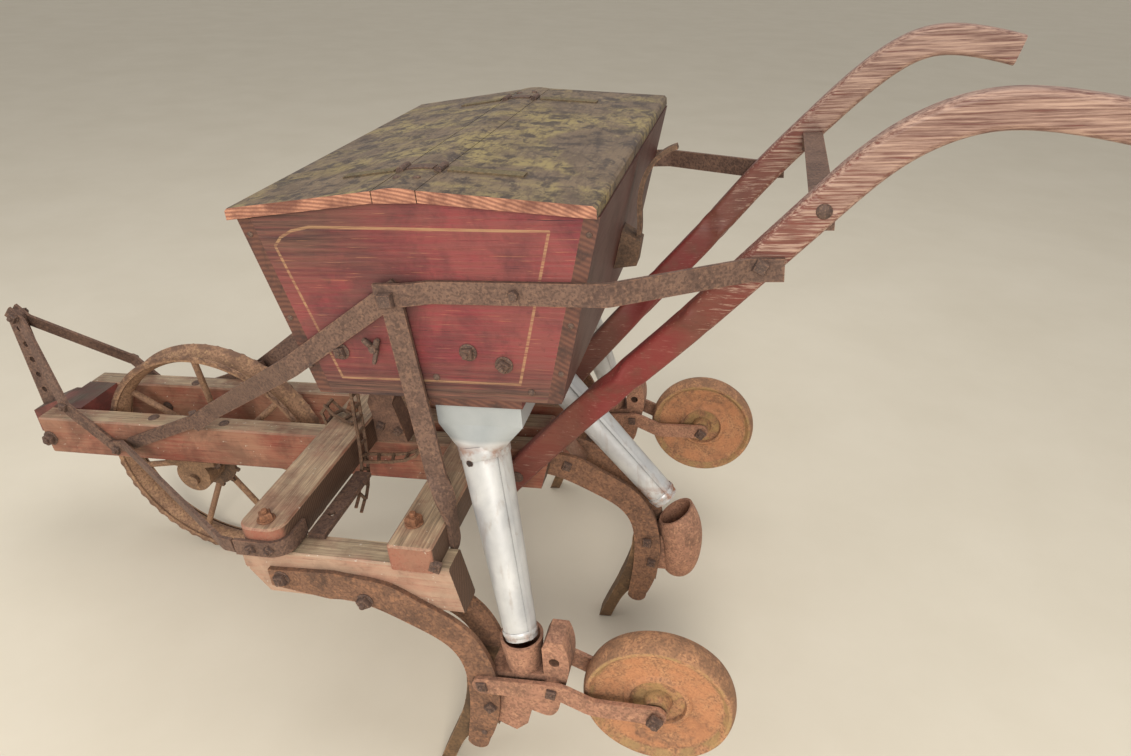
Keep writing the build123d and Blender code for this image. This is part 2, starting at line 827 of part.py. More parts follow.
# Feet: a pair of curved flat bars either side of each beam, pinned together under it
FEET = (
    ("left", 0, side_beam_offset),
    ("centre", -foot_lag, 0),
    ("right", 0, -side_beam_offset),
)
bar_near = side_beam_width / 2 + foot_fit
bar_far = bar_near + foot_bar
tip = (tip_x, floor_under(tip_x))
for row, shift, y in FEET:
    foot_side = Plane(origin=deck(shift, y, shift * tan(nose_down)), x_dir=deck_x, z_dir=(0, -1, 0))
    foot_front_view = Plane(origin=foot_side.origin, x_dir=ACROSS, z_dir=deck_x)
    foot_axis_up = Plane(origin=foot_side.origin, x_dir=deck_x, z_dir=deck_z)

    with BuildPart() as foot:
        with BuildSketch(foot_side) as bar_form:
            with BuildLine():
                Polyline((foot_front, FOOT_HEAD[1]), (foot_front, FOOT_HEAD[0]), BAR_BACK[0])
                Spline(*BAR_BACK)
                ThreePointArc(BAR_BACK[-1], BAR_TOE, BAR_FRONT[0])
                Spline(*BAR_FRONT)
                Line(BAR_FRONT[-1], (foot_front, FOOT_HEAD[1]))
            make_face()
        extrude(amount=bar_far, both=True)
        extrude(bar_form.sketch, amount=bar_near, both=True, mode=Mode.SUBTRACT)
        with BuildSketch(foot_side):
            with Locations(FOOT_PIN):
                Circle(pin_radius)
        extrude(amount=bar_far + 2 * over, both=True)
    finish(foot, f"foot_bars_{row}")

    with BuildPart() as shovel:
        with BuildSketch(foot_side):
            with BuildLine():
                Spline(*SHOVEL_POINT, tip)
                sole = Line(tip, (tip_x - shovel_sole, tip[1] + over))
                Spline(sole @ 1, *SHOVEL_BACK)
                Polyline(
                    SHOVEL_BACK[-1],
                    (boot_front + foot_fit, shovel_shoulder / 2 + SHOVEL_BACK[-1][1] / 2),
                    (boot_front + foot_fit, shovel_top),
                    (SHOVEL_POINT[0][0] - shovel_neck, shovel_top),
                    SHOVEL_POINT[0],
                )
            make_face()
        extrude(amount=bar_near, both=True)
        with BuildSketch(foot_front_view):
            with BuildLine():
                blade_front = (
                    (bar_near - foot_fit, shovel_top + over),
                    (bar_near - foot_fit, shovel_shoulder),
                    (shovel_half_width, shovel_shoulder - shovel_taper),
                    (shovel_half_width, tip[1] - shovel_neck),
                )
                Polyline(*blade_front, *[(-across, up) for across, up in reversed(blade_front)], close=True)
            make_face()
            fillet(vertices().group_by(Axis.Y)[0], shovel_round)
        extrude(amount=foot_lag, both=True, mode=Mode.INTERSECT)
        with BuildSketch(foot_side):
            with Locations(FOOT_PIN):
                Circle(pin_radius + pin_fit)
        extrude(amount=bar_near, both=True, mode=Mode.SUBTRACT)
    finish(shovel, f"shovel_{row}")

    # Boot: hollow casting behind the shovel, with a cup for the seed tube and a mouth in the furrow.
    # The middle one is a plain bowl with no ear and no arms, its mouth tilted forward
    with BuildPart() as boot:
        if row == "centre":
            with BuildSketch(foot_side):
                with BuildLine():
                    Polyline(
                        (boot_front, bowl_neck_top),
                        (boot_front, bowl_neck_foot),
                        (bowl_neck_back, bowl_neck_foot),
                        (bowl_neck_back, bowl_neck_top),
                        close=True,
                    )
                make_face()
            extrude(amount=boot_half_width, both=True)
            for wall, mode in ((0, Mode.ADD), (cup_wall, Mode.SUBTRACT)):
                for place, radius, (lean, up) in BOWL_LEVELS:
                    middle = foot_side.from_local_coords((*place, 0))
                    with BuildSketch(Plane(origin=middle, x_dir=ACROSS, z_dir=deck_x * lean + deck_z * up)):
                        Circle(radius - wall)
                loft(mode=mode)
            with BuildSketch(foot_axis_up.offset(BOOT_THROAT[0][1])):
                with Locations((BOWL_LEVELS[-1][0][0], 0)):
                    Circle(bowl_drop / 2)
            extrude(amount=BOOT_THROAT[-1][1], mode=Mode.SUBTRACT)
        else:
            with BuildSketch(foot_side):
                with BuildLine():
                    heel = Polyline(*BOOT_BACK[-4:])
                    Spline(*BOOT_BACK[2:-3])
                    Polyline(*BOOT_BACK[:3])
                    Polyline(BOOT_BACK[0], (boot_front, boot_nose), (boot_front, boot_shoulder), heel @ 1)
                make_face()
                with Locations(BOOT_EAR_HOLE):
                    Circle(boot_ear_radius, mode=Mode.SUBTRACT)
            extrude(amount=boot_half_width, both=True)
            with BuildSketch(foot_side):
                with Locations(BOOT_LUG):
                    Circle(boot_lug_radius)
            extrude(amount=bar_far - foot_fit, both=True)
            cup_levels = (cup_z, cup_z - cup_height)
            for wall, mode in ((0, Mode.ADD), (cup_wall, Mode.SUBTRACT)):
                for level, radius in zip(cup_levels, (cup_radius, cup_base_radius)):
                    with BuildSketch(foot_axis_up.offset(level)):
                        with Locations((cup_x, 0)):
                            Circle(radius - wall)
                loft(mode=mode)
            with BuildSketch(foot_side):
                with BuildLine():
                    Polyline(*BOOT_THROAT, close=True)
                make_face()
            extrude(amount=boot_half_width - 2 * cup_wall, both=True, mode=Mode.SUBTRACT)
    finish(boot, f"boot_{row}")

# Press wheels and their forks, on the outer feet only
for side, s in SIDES:
    y = s * side_beam_offset
    with BuildPart() as fork:
        with BuildSketch(deck_side(y)) as arm_form:
            with BuildLine():
                FilletPolyline(FOOT_PIN, *ARM_LINE, (press_x, press_z), radius=arm_bend)
            trace(line_width=arm_depth)
            with Locations(FOOT_PIN, (press_x, press_z)):
                Circle(arm_depth / 2)
        extrude(amount=bar_far + foot_fit + arm_thick, both=True)
        extrude(arm_form.sketch, amount=bar_far + foot_fit, both=True, mode=Mode.SUBTRACT)
        with BuildSketch(deck_side(y)):
            with Locations(FOOT_PIN):
                Circle(pin_radius + pin_fit)
        extrude(amount=bar_far + arm_thick + over, both=True, mode=Mode.SUBTRACT)
        with BuildSketch(deck_side(y)):
            with Locations((press_x, press_z)):
                Circle(press_axle_radius)
        extrude(amount=bar_far + arm_thick + axle_stub, both=True)
    finish(fork, f"press_fork_{side}")

    with BuildPart() as press_wheel:
        with BuildSketch(deck_cross(press_x)):
            with BuildLine():
                near_face = [(y + out, press_z + r) for out, r in PRESS_FACE]
                far_face = [(y - out, press_z + r) for out, r in reversed(PRESS_FACE)]
                rim = Polyline(
                    (y + press_half_width, press_z + press_shoulder),
                    *near_face,
                    (y + press_hub_half, press_z + press_hub_radius),
                    (y + press_hub_half, press_z + press_axle_radius + press_fit),
                    (y - press_hub_half, press_z + press_axle_radius + press_fit),
                    (y - press_hub_half, press_z + press_hub_radius),
                    *far_face,
                    (y - press_half_width, press_z + press_shoulder),
                )
                ThreePointArc(rim @ 1, (y, press_z + press_radius), rim @ 0)
            make_face()
        revolve(axis=Axis(deck(press_x, 0, press_z), ACROSS))
    finish(press_wheel, f"press_wheel_{side}")

# Front wheel: an iron wheel with a hollow rim, staggered round spokes and its axle in one piece
with BuildPart() as front_wheel:
    with BuildSketch(deck_cross(wheel_x)):
        with BuildLine():
            hollow = wheel_z + wheel_radius - rim_hollow
            top = wheel_z + wheel_radius
            tread = Spline((wheel_half_width, top), (0, hollow), (-wheel_half_width, top))
            lip = Line(tread @ 1, (-wheel_half_width - rim_lip, top - rim_thick))
            under = Spline(lip @ 1, (0, hollow - rim_thick), (wheel_half_width + rim_lip, top - rim_thick))
            Line(under @ 1, tread @ 0)
        make_face()
    revolve(axis=Axis(deck(wheel_x, 0, wheel_z), ACROSS))
    with BuildSketch(deck_cross(wheel_x)):
        with BuildLine():
            Polyline(
                (-axle_half_length, wheel_z),
                (-axle_half_length, wheel_z + axle_radius),
                (-hub_half_length, wheel_z + axle_radius),
                (-hub_half_length, wheel_z + hub_radius - hub_edge),
                (-hub_half_length + hub_edge, wheel_z + hub_radius),
                (hub_half_length - hub_edge, wheel_z + hub_radius),
                (hub_half_length, wheel_z + hub_radius - hub_edge),
                (hub_half_length, wheel_z + axle_radius),
                (axle_half_length, wheel_z + axle_radius),
                (axle_half_length, wheel_z),
                close=True,
            )
        make_face()
    revolve(axis=Axis(deck(wheel_x, 0, wheel_z), ACROSS))
    for i in range(spoke_count):
        turn = 2 * pi * (i / spoke_count + 0.25)
        out = deck_x * cos(turn) + deck_z * sin(turn)
        lean = spoke_lean if i % 2 else -spoke_lean
        foot_of_spoke = deck(wheel_x, lean, wheel_z) + out * (hub_radius - spoke_root)
        head_of_spoke = deck(wheel_x, 0, wheel_z) + out * (wheel_radius - rim_hollow - rim_thick / 2)
        with BuildSketch(Plane(origin=foot_of_spoke, z_dir=head_of_spoke - foot_of_spoke)):
            Circle(spoke_radius)
        extrude(amount=(head_of_spoke - foot_of_spoke).length)
finish(front_wheel, "front_wheel")

# Wheel sprocket: toothed ring on the left of the hub, once the drive of the seed feed
with BuildPart() as wheel_sprocket:
    with BuildSketch(deck_side(sprocket_y)):
        with Locations((wheel_x, wheel_z)):
            Circle(sprocket_radius)
            with PolarLocations(sprocket_radius, sprocket_teeth):
                Polygon(*SPROCKET_TOOTH, align=None)
            Circle(hub_radius + foot_fit, mode=Mode.SUBTRACT)
    extrude(amount=sprocket_thick / 2, both=True)
finish(wheel_sprocket, "wheel_sprocket")

# Bearings: cast hangers under the rails for the front wheel's axle
for side, s in SIDES:
    with BuildPart() as bearing:
        with BuildSketch(deck_side(s * (rail_inner + rail_width / 2))):
            with BuildLine():
                low = wheel_z - axle_radius - bearing_wall
                flange = [
                    (bearing_length / 2, -bearing_root),
                    (bearing_half_flange, -bearing_flange_thick),
                    (bearing_half_flange, -rest_gap),
                ]
                places = [(wheel_x + along, down - beam_depth) for along, down in flange]
                others = [(wheel_x - along, down - beam_depth) for along, down in flange]
                Polyline(*places, *reversed(others))
                ThreePointArc(others[0], (wheel_x, low), places[0])
            make_face()
            with Locations((wheel_x, wheel_z)):
                Circle(axle_radius + axle_fit, mode=Mode.SUBTRACT)
        extrude(amount=rail_width / 2 - bearing_inset, both=True)
    finish(bearing, f"bearing_{side}")

# Seed spouts: a tin funnel under each seed hole, and a tapered tube from its neck down to the boot's cup
for row, y in spout_rows:
    (top_x, top_y), (end_x, end_y), end_z = TUBES[row]
    fall = deck(end_x, end_y, end_z) - deck(top_x, top_y, neck_z)
    with BuildPart() as funnel:
        for wall, mode in ((0, Mode.ADD), (tin, Mode.SUBTRACT)):
            with BuildSketch(deck_top(cleat_under - seat_gap)):
                with Locations((funnel_x, y)):
                    Rectangle(funnel_length - 2 * wall, funnel_width - 2 * wall)
            extrude(amount=-funnel_skirt, mode=mode)
            with BuildSketch(deck_top(cleat_under - seat_gap - funnel_skirt)):
                with Locations((funnel_x, y)):
                    Rectangle(funnel_length - 2 * wall, funnel_width - 2 * wall)
            with BuildSketch(deck_top(neck_z)):
                with Locations((top_x, top_y)):
                    Circle(tube_top_radius - wall)
            loft(mode=mode)
    finish(funnel, f"funnel_{row}")

    with BuildPart() as spout:
        for wall, mode in ((0, Mode.ADD), (tin, Mode.SUBTRACT)):
            with BuildSketch(deck_top(neck_z - seat_gap)):
                with Locations((top_x, top_y)):
                    Circle(tube_top_radius - wall)
            with BuildSketch(Plane(origin=deck(end_x, end_y, end_z), x_dir=ACROSS, z_dir=-fall)):
                Circle(tube_end_radius - wall)
            loft(mode=mode)
    finish(spout, f"spout_{row}")

# Stands: tapered castings on the rails that carry the hopper's front edge and the feed shaft
for side, s in SIDES:
    with BuildPart() as stand:
        with BuildSketch(deck_side(s * (rail_inner + rail_width / 2))):
            with BuildLine():
                Polyline(*STAND_OUTLINE, close=True)
            make_face()
            with Locations((feed_x, feed_z)):
                Circle(feed_radius + axle_fit, mode=Mode.SUBTRACT)
        extrude(amount=rail_width / 2, both=True)
    finish(stand, f"hopper_stand_{side}")

# Feed shaft: carried by the stands, with the driven sprocket the chain hangs from
with BuildPart() as feed_shaft:
    with BuildSketch(deck_side(0)):
        with Locations((feed_x, feed_z)):
            Circle(feed_radius)
    extrude(amount=feed_half_length, both=True)
    with BuildSketch(deck_side(feed_sprocket_y)):
        with Locations((feed_x, feed_z)):
            Circle(feed_sprocket_radius)
            with PolarLocations(feed_sprocket_radius, feed_sprocket_teeth):
                Polygon(*FEED_TOOTH, align=None)
    extrude(amount=sprocket_thick / 2, both=True)
finish(feed_shaft, "feed_shaft")

# Drive chain: flat links of square rods and round cross bars, slipped off the wheel and hanging seized
with BuildPart() as drive_chain:
    for strand in CHAIN_RUNS:
        run = Spline(*[deck(*place) for place in strand])
        links = round(run.length / link_pitch)
        across = Vector(ACROSS)
        for i in range(links):
            here, there = run @ (i / links), run @ ((i + 1) / links)
            along = (there - here).normalized()
            side_way = (across - along * across.dot(along)).normalized()
            with BuildSketch(Plane(origin=here, x_dir=side_way, z_dir=along)):
                with Locations((link_width / 2, 0), (-link_width / 2, 0)):
                    Rectangle(link_bar, link_side)
            extrude(amount=(there - here).length + link_bar / 2)
            rod_end = here - side_way * (link_width + over) / 2
            with BuildSketch(Plane(origin=rod_end, x_dir=along, z_dir=side_way)):
                Circle(link_bar)
            extrude(amount=link_width + over)
finish(drive_chain, "drive_chain")

# Tie bar: a flat bar behind the front cross beam, out to the left side beam
with BuildPart() as tie_bar:
    with BuildSketch(deck_top(rest_gap)):
        with Locations((tie_bar_x, (tie_bar_inner + tie_bar_outer) / 2)):
            Rectangle(tie_bar_width, tie_bar_outer - tie_bar_inner)
        with Locations((tie_bar_x, TIE_BAR_HOLE)):
            Circle(hitch_hole, mode=Mode.SUBTRACT)
    extrude(amount=tie_bar_thick)
finish(tie_bar, "tie_bar")

# Gate lever: a curved hand lever on the back board that opened the seed gates
with BuildPart() as gate_lever:
    with BuildSketch(deck_side(0)):
        with BuildLine():
            Spline(*LEVER_LINE)
        trace(line_width=lever_thick)
    extrude(amount=lever_width / 2, both=True)
    with BuildSketch(deck_side(0)):
        with BuildLine():
            Polyline(*LEVER_CASTING, close=True)
        make_face()
    extrude(amount=lever_casting_width / 2, both=True)
finish(gate_lever, "gate_lever")
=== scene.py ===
import math
import random
import bmesh
import bpy
from mathutils import Matrix, Vector
from mathutils.bvhtree import BVHTree


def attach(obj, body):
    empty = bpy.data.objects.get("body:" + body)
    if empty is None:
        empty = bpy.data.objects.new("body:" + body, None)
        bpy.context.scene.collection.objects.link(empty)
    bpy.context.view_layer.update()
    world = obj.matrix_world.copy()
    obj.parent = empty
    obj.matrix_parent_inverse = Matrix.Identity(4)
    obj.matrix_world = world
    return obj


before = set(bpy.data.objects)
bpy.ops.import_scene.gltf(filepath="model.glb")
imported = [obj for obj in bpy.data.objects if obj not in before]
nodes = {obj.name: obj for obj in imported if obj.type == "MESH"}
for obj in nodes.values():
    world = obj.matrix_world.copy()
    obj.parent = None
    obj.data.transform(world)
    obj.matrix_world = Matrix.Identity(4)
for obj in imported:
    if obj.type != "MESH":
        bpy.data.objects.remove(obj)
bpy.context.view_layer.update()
rng = random.Random(7)


# Rails and middle beam
# Sawn hardwood: two rails run from the nose back past the front wheel, with a beam between them for the middle foot.
# Planed, painted red-brown and bolted up. The paint has gone dull and the tops have weathered to grey.

# Deck coordinates, in millimetres: X forward along the beams, Y to the left, Z square to the beams' tops.
# The deck stands nose down, so every new piece is placed through this one matrix.
PITCH = math.radians(5.9)
DECK = Matrix.Translation((-0.15575, 0, 0.435)) @ Matrix.Rotation(PITCH, 4, "Y") @ Matrix.Scale(0.001, 4)


def lin(*rgb):
    """Linear colour from 0 to 255 screen values."""
    return tuple(((v / 255 + 0.055) / 1.055) ** 2.4 if v > 10 else v / 255 / 12.92 for v in rgb) + (1,)


def node(tree, kind, inputs=None, **settings):
    """A shader node; each input is given a value, or a socket that is linked to it."""
    n = tree.nodes.new("ShaderNode" + kind)
    for key, value in settings.items():
        setattr(n, key, value)
    for key, value in (inputs or {}).items():
        if isinstance(value, bpy.types.NodeSocket):
            tree.links.new(value, n.inputs[key])
        else:
            n.inputs[key].default_value = value
    return n


def noise(tree, vector, scale, detail=5.0, rough=0.55, warp=0.0):
    values = {"Vector": vector, "Scale": scale, "Detail": detail, "Roughness": rough, "Distortion": warp}
    return node(tree, "TexNoise", values).outputs["Fac"]


def ramp(tree, value, *stops):
    """A colour ramp through (place, colour or grey level) stops."""
    n = node(tree, "ValToRGB", {"Fac": value})
    line = n.color_ramp.elements
    while len(line) < len(stops):
        line.new(0.5)
    for element, (place, colour) in zip(line, stops):
        element.position = place
        element.color = colour if isinstance(colour, tuple) else (colour, colour, colour, 1)
    return n.outputs["Color"]


def mix(tree, fac, a, b):
    """Mixes two colours. The Mix node has its colour inputs at 6 and 7, and its colour output at 2."""
    return node(tree, "Mix", {0: fac, 6: a, 7: b}, data_type="RGBA").outputs[2]


def calc(tree, how, a, b=0.0, clamp=False):
    return node(tree, "Math", {0: a, 1: b}, operation=how, use_clamp=clamp).outputs[0]


def times(tree, a, b, clamp=False):
    return calc(tree, "MULTIPLY", a, b, clamp)


def plus(tree, a, b, clamp=False):
    return calc(tree, "ADD", a, b, clamp)


def minus(tree, a, b):
    return calc(tree, "SUBTRACT", a, b)


def group(name, inputs, outputs):
    """A shader node group with the given sockets; returns the tree, its input sockets and its output node."""
    tree = bpy.data.node_groups.new(name, "ShaderNodeTree")
    for label, kind, value in inputs:
        socket = tree.interface.new_socket(label, in_out="INPUT", socket_type="NodeSocket" + kind)
        if value is not None:
            socket.default_value = value
    for label, kind in outputs:
        tree.interface.new_socket(label, in_out="OUTPUT", socket_type="NodeSocket" + kind)
    given = tree.nodes.new("NodeGroupInput").outputs
    return tree, given, tree.nodes.new("NodeGroupOutput")


def bring_out(tree, end, **values):
    for label, value in values.items():
        tree.links.new(value, end.inputs[label])


# Edge mask: where the surface turns sharply, from the difference between the bevelled and the true normal.
tree, given, end = group("edge_mask", [("Radius", "Float", 0.004)], [("Edge", "Float")])
rounded = node(tree, "Bevel", {"Radius": given["Radius"]}, samples=4).outputs[0]
true_normal = node(tree, "NewGeometry").outputs["Normal"]
bend = node(tree, "VectorMath", {0: rounded, 1: true_normal}, operation="DOT_PRODUCT").outputs["Value"]
bring_out(tree, end, Edge=ramp(tree, bend, (0.72, 1.0), (0.985, 0.0)))
EDGE_MASK = tree

# Worn painted wood: paint over bare grain, rubbed through in streaks and along edges, with dust and dark dirt.
tree, given, end = group(
    "worn_painted_wood",
    [("Grain", "Vector", None), ("Place", "Vector", None),
     ("Paint", "Color", (0.4, 0.05, 0.05, 1)), ("Faded", "Color", (0.3, 0.1, 0.08, 1)),
     ("Bare", "Color", (0.3, 0.2, 0.12, 1)), ("Dark", "Color", (0.05, 0.03, 0.02, 1)),
     ("Fading", "Float", 0.5), ("Wear", "Float", 0.4), ("Edge wear", "Float", 0.6),
     ("Dirt", "Float", 0.5), ("Fibre", "Float", 1.0)],
    [("Color", "Color"), ("Roughness", "Float"), ("Height", "Float")],
)
fine = noise(tree, given["Grain"], 9.0, 9.0, 0.68)
broad = noise(tree, given["Grain"], 2.6, 4.0, 0.5, 0.6)
blotch = noise(tree, given["Place"], 5.5, 5.0, 0.6)
small = noise(tree, given["Place"], 60.0, 4.0, 0.6)
smudge = noise(tree, given["Place"], 13.0, 7.0, 0.68, 0.4)
wave = {"Vector": given["Grain"], "Scale": 1.6, "Distortion": 9.0, "Detail": 4.0, "Detail Scale": 1.2}
fibre = node(tree, "TexWave", wave, bands_direction="DIAGONAL").outputs["Fac"]
edge = node(tree, "Group", {"Radius": 0.005}, node_tree=EDGE_MASK).outputs["Edge"]
clouds = times(tree, ramp(tree, blotch, (0.36, 0.0), (0.62, 1.0)), given["Fading"])
threads = times(tree, ramp(tree, fine, (0.42, 0.0), (0.6, 0.55)), given["Fading"])
painted = mix(tree, plus(tree, clouds, threads, True), given["Paint"], given["Faded"])
streak = plus(tree, times(tree, fine, 0.62), times(tree, broad, 0.38))
threshold = minus(tree, 0.86, times(tree, given["Wear"], 0.5))
threshold = minus(tree, threshold, times(tree, edge, times(tree, given["Edge wear"], 0.24)))
gone = times(tree, minus(tree, streak, threshold), 14.0, True)
bare = mix(tree, ramp(tree, fine, (0.38, 0.0), (0.6, 1.0)), given["Dark"], given["Bare"])
worn = mix(tree, gone, painted, bare)
grime = times(tree, ramp(tree, smudge, (0.45, 0.0), (0.62, 1.0)), given["Dirt"])
worn = mix(tree, times(tree, grime, 0.75), worn, given["Dark"])
specks = times(tree, ramp(tree, small, (0.62, 0.0), (0.72, 1.0)), times(tree, given["Dirt"], 0.55))
worn = mix(tree, specks, worn, given["Dark"])
cracks = times(tree, ramp(tree, fine, (0.31, 1.0), (0.385, 0.0)), times(tree, given["Fibre"], 0.8, True))
worn = mix(tree, cracks, worn, given["Dark"])
height = times(tree, plus(tree, times(tree, fine, 0.6), times(tree, fibre, 0.25)), given["Fibre"])
height = minus(tree, height, times(tree, gone, 0.22))
rough = plus(tree, 0.5, times(tree, gone, 0.28))
rough = plus(tree, rough, times(tree, grime, 0.12), True)
bring_out(tree, end, Color=worn, Roughness=rough, Height=height)
WORN_WOOD = tree


def level(tree, vector):
    """Turns a direction or a place from the machine's axes to the deck's."""
    return node(tree, "VectorRotate", {"Vector": vector, "Angle": -PITCH}, rotation_type="Y_AXIS").outputs[0]


def coordinates(tree, stretch=(1, 1, 1), shift=(0, 0, 0)):
    """Object coordinates in the deck's directions, stretched and shifted."""
    at = level(tree, node(tree, "TexCoord").outputs["Object"])
    return node(tree, "Mapping", {"Vector": at, "Scale": stretch, "Location": shift}).outputs[0]


def split(tree, vector):
    return node(tree, "SeparateXYZ", {0: vector}).outputs


def begin(name):
    material = bpy.data.materials.new(name)
    material.use_nodes = True
    material.node_tree.nodes.clear()
    return material, material.node_tree


def close(tree, colour, roughness, height, bump=0.4, distance=0.001, crevice_shade=0.6, **sockets):
    """Ends a material in one Principled shader, with the height as bump and painted shade in the crevices: colour
    darkened by ambient occlusion.
    """
    if crevice_shade:
        # Painted shade: where ambient occlusion finds the surface hemmed in, in crevices, corners and under parts, the
        # colour is darkened toward dark brown.
        open_sky = node(tree, "AmbientOcclusion", {"Distance": 0.03}, samples=3).outputs["AO"]
        painted_shade = times(tree, ramp(tree, open_sky, (0.25, 1.0), (0.8, 0.0)), crevice_shade)
        colour = mix(tree, painted_shade, colour, lin(40, 30, 26))
    lift = node(tree, "Bump", {"Strength": bump, "Distance": distance, "Height": height}).outputs[0]
    shader = node(tree, "BsdfPrincipled", {"Base Color": colour, "Roughness": roughness, "Normal": lift})
    for key, value in sockets.items():
        label = key.replace("_", " ").title().replace("Ior", "IOR")
        if isinstance(value, bpy.types.NodeSocket):
            tree.links.new(value, shader.inputs[label])
        else:
            shader.inputs[label].default_value = value
    node(tree, "OutputMaterial", {"Surface": shader.outputs[0]})


def amounts_for(amounts):
    """Keyword names as the labels of a group's sockets."""
    return {key.replace("_", " ").capitalize(): value for key, value in amounts.items()}


# Noise is drawn out about thirty times along the grain.
GRAIN = {"x": (1.1, 34, 34), "y": (34, 1.1, 34)}
SURFACE_DEPTH = 0.0012


def painted_wood(name, grain, paint, faded, bare, dark, top=None, bump=0.5, marks=None, **amounts):
    """Painted boards. top is the weathered tone of faces that look up, and marks a function for marks on the paint."""
    material, tree = begin(name)
    along, place = coordinates(tree, GRAIN[grain]), coordinates(tree)
    tones = {"Paint": lin(*paint), "Faded": lin(*faded), "Bare": lin(*bare), "Dark": lin(*dark)}
    values = {"Grain": along, "Place": place, **tones, **amounts_for(amounts)}
    wood = node(tree, "Group", values, node_tree=WORN_WOOD).outputs
    colour = wood["Color"]
    if top:
        tone, strength = top
        up = split(tree, node(tree, "NewGeometry").outputs["Normal"])["Z"]
        looks_up = times(tree, ramp(tree, up, (0.55, 0.0), (0.9, 1.0)), strength)
        patches = ramp(tree, noise(tree, place, 16.0, 6.0, 0.6), (0.3, 0.35), (0.55, 1.0))
        threads = ramp(tree, noise(tree, along, 8.0, 8.0, 0.7), (0.34, 0.0), (0.64, 1.0))
        weathered = mix(tree, threads, lin(*[v * 0.56 for v in tone]), lin(*tone))
        stained = ramp(tree, noise(tree, place, 9.0, 7.0, 0.68), (0.5, 0.0), (0.66, 0.7))
        weathered = mix(tree, stained, weathered, lin(*[v * 0.66 for v in paint]))
        colour = mix(tree, times(tree, looks_up, patches), colour, weathered)
    if marks:
        colour = marks(tree, colour, along, place)
    close(tree, colour, wood["Roughness"], wood["Height"], bump, SURFACE_DEPTH, specular_ior_level=0.35)
    return material


def dress(material, *names):
    """Gives CAD nodes a material."""
    for name in names:
        mesh = nodes[name].data
        mesh.materials.clear()
        mesh.materials.append(material)


def soften(width, *names, segments=2):
    """Rounds the edges of CAD nodes with a bevel modifier."""
    for name in names:
        rounder = nodes[name].modifiers.new("rounded", "BEVEL")
        rounder.width = width
        rounder.segments = segments
        rounder.limit_method = "ANGLE"
        rounder.angle_limit = math.radians(35)
        rounder.harden_normals = False


def end_grain(tree, place, way, scale, warp, detail, detail_scale=1.0):
    """The rings of sawn end grain, about an axis along the way."""
    wave = {"Vector": place, "Scale": scale, "Distortion": warp, "Detail": detail, "Detail Scale": detail_scale}
    return node(tree, "TexWave", wave, wave_type="RINGS", rings_direction=way).outputs["Fac"]


def beam_marks(tree, colour, along, place):
    """White specks, and the sawn faces at front and back."""
    forward = split(tree, level(tree, node(tree, "NewGeometry").outputs["Normal"]))["X"]
    ends = ramp(tree, calc(tree, "ABSOLUTE", forward), (0.8, 0.0), (0.95, 1.0))
    sawn = mix(tree, end_grain(tree, place, "X", 55.0, 3.0, 3.0), lin(76, 56, 46), lin(104, 80, 64))
    specks = times(tree, ramp(tree, noise(tree, place, 150.0, 2.0, 0.5), (0.70, 0.0), (0.735, 1.0)), 0.7)
    return mix(tree, ends, mix(tree, specks, colour, lin(196, 186, 170)), sawn)


TIMBER_EDGE = 0.0016
rail_paint = painted_wood("rail_paint", "x", (134, 68, 54), (150, 108, 86), (156, 124, 98), (46, 32, 26),
                          top=((182, 160, 130), 0.9), marks=beam_marks,
                          fading=0.9, wear=0.38, edge_wear=0.8, dirt=0.55, fibre=1.1)
dress(rail_paint, "rail_left", "rail_right", "centre_beam")
soften(TIMBER_EDGE, "rail_left", "rail_right", "centre_beam")


# Side beams
# A short beam over each outer foot, of the same timber, bolted under the ends of the cross beams.
# Their faces are dusty and pale, with less red left than on the rails.
side_beam_paint = painted_wood("side_beam_paint", "x", (164, 112, 92), (172, 142, 120), (184, 156, 130), (72, 54, 44),
                               top=((196, 174, 142), 0.9), marks=beam_marks,
                               fading=0.9, wear=0.38, edge_wear=0.8, dirt=0.45, fibre=1.0)
dress(side_beam_paint, "side_beam_left", "side_beam_right")
soften(TIMBER_EDGE, "side_beam_left", "side_beam_right")


# Cross beams
# Two beams of the same timber lie across the rails and the side beams, and a bolt goes through every crossing.
# The struts of the hopper stand on the rear one.
cross_paint = painted_wood("cross_paint", "y", (150, 82, 66), (146, 104, 84), (174, 144, 116), (52, 38, 30),
                           top=((198, 172, 140), 0.9), marks=beam_marks,
                           fading=0.8, wear=0.36, edge_wear=0.8, dirt=0.5, fibre=1.0)
dress(cross_paint, "cross_beam_front", "cross_beam_rear")
soften(TIMBER_EDGE, "cross_beam_front", "cross_beam_rear")


# Nose block
# A hardwood block between the front ends of the rails, slotted for the hitch bar and bolted through from side to side.
# Its red paint is dark with dirt.
nose_paint = painted_wood("nose_paint", "y", (134, 64, 60), (116, 72, 62), (110, 92, 76), (40, 30, 26),
                          top=((96, 88, 74), 0.8), fading=0.7, wear=0.25, edge_wear=0.5, dirt=0.7, fibre=0.8)
dress(nose_paint, "nose_block")
soften(TIMBER_EDGE, "nose_block")


# Hitch bar, straps and braces
# Flat iron, cut, punched and bent hot: the hitch bar and its braces, the corner irons, the front braces, the struts,
# the stays to the handles, the rung and the tie bar. All of it is brown and finely pitted.

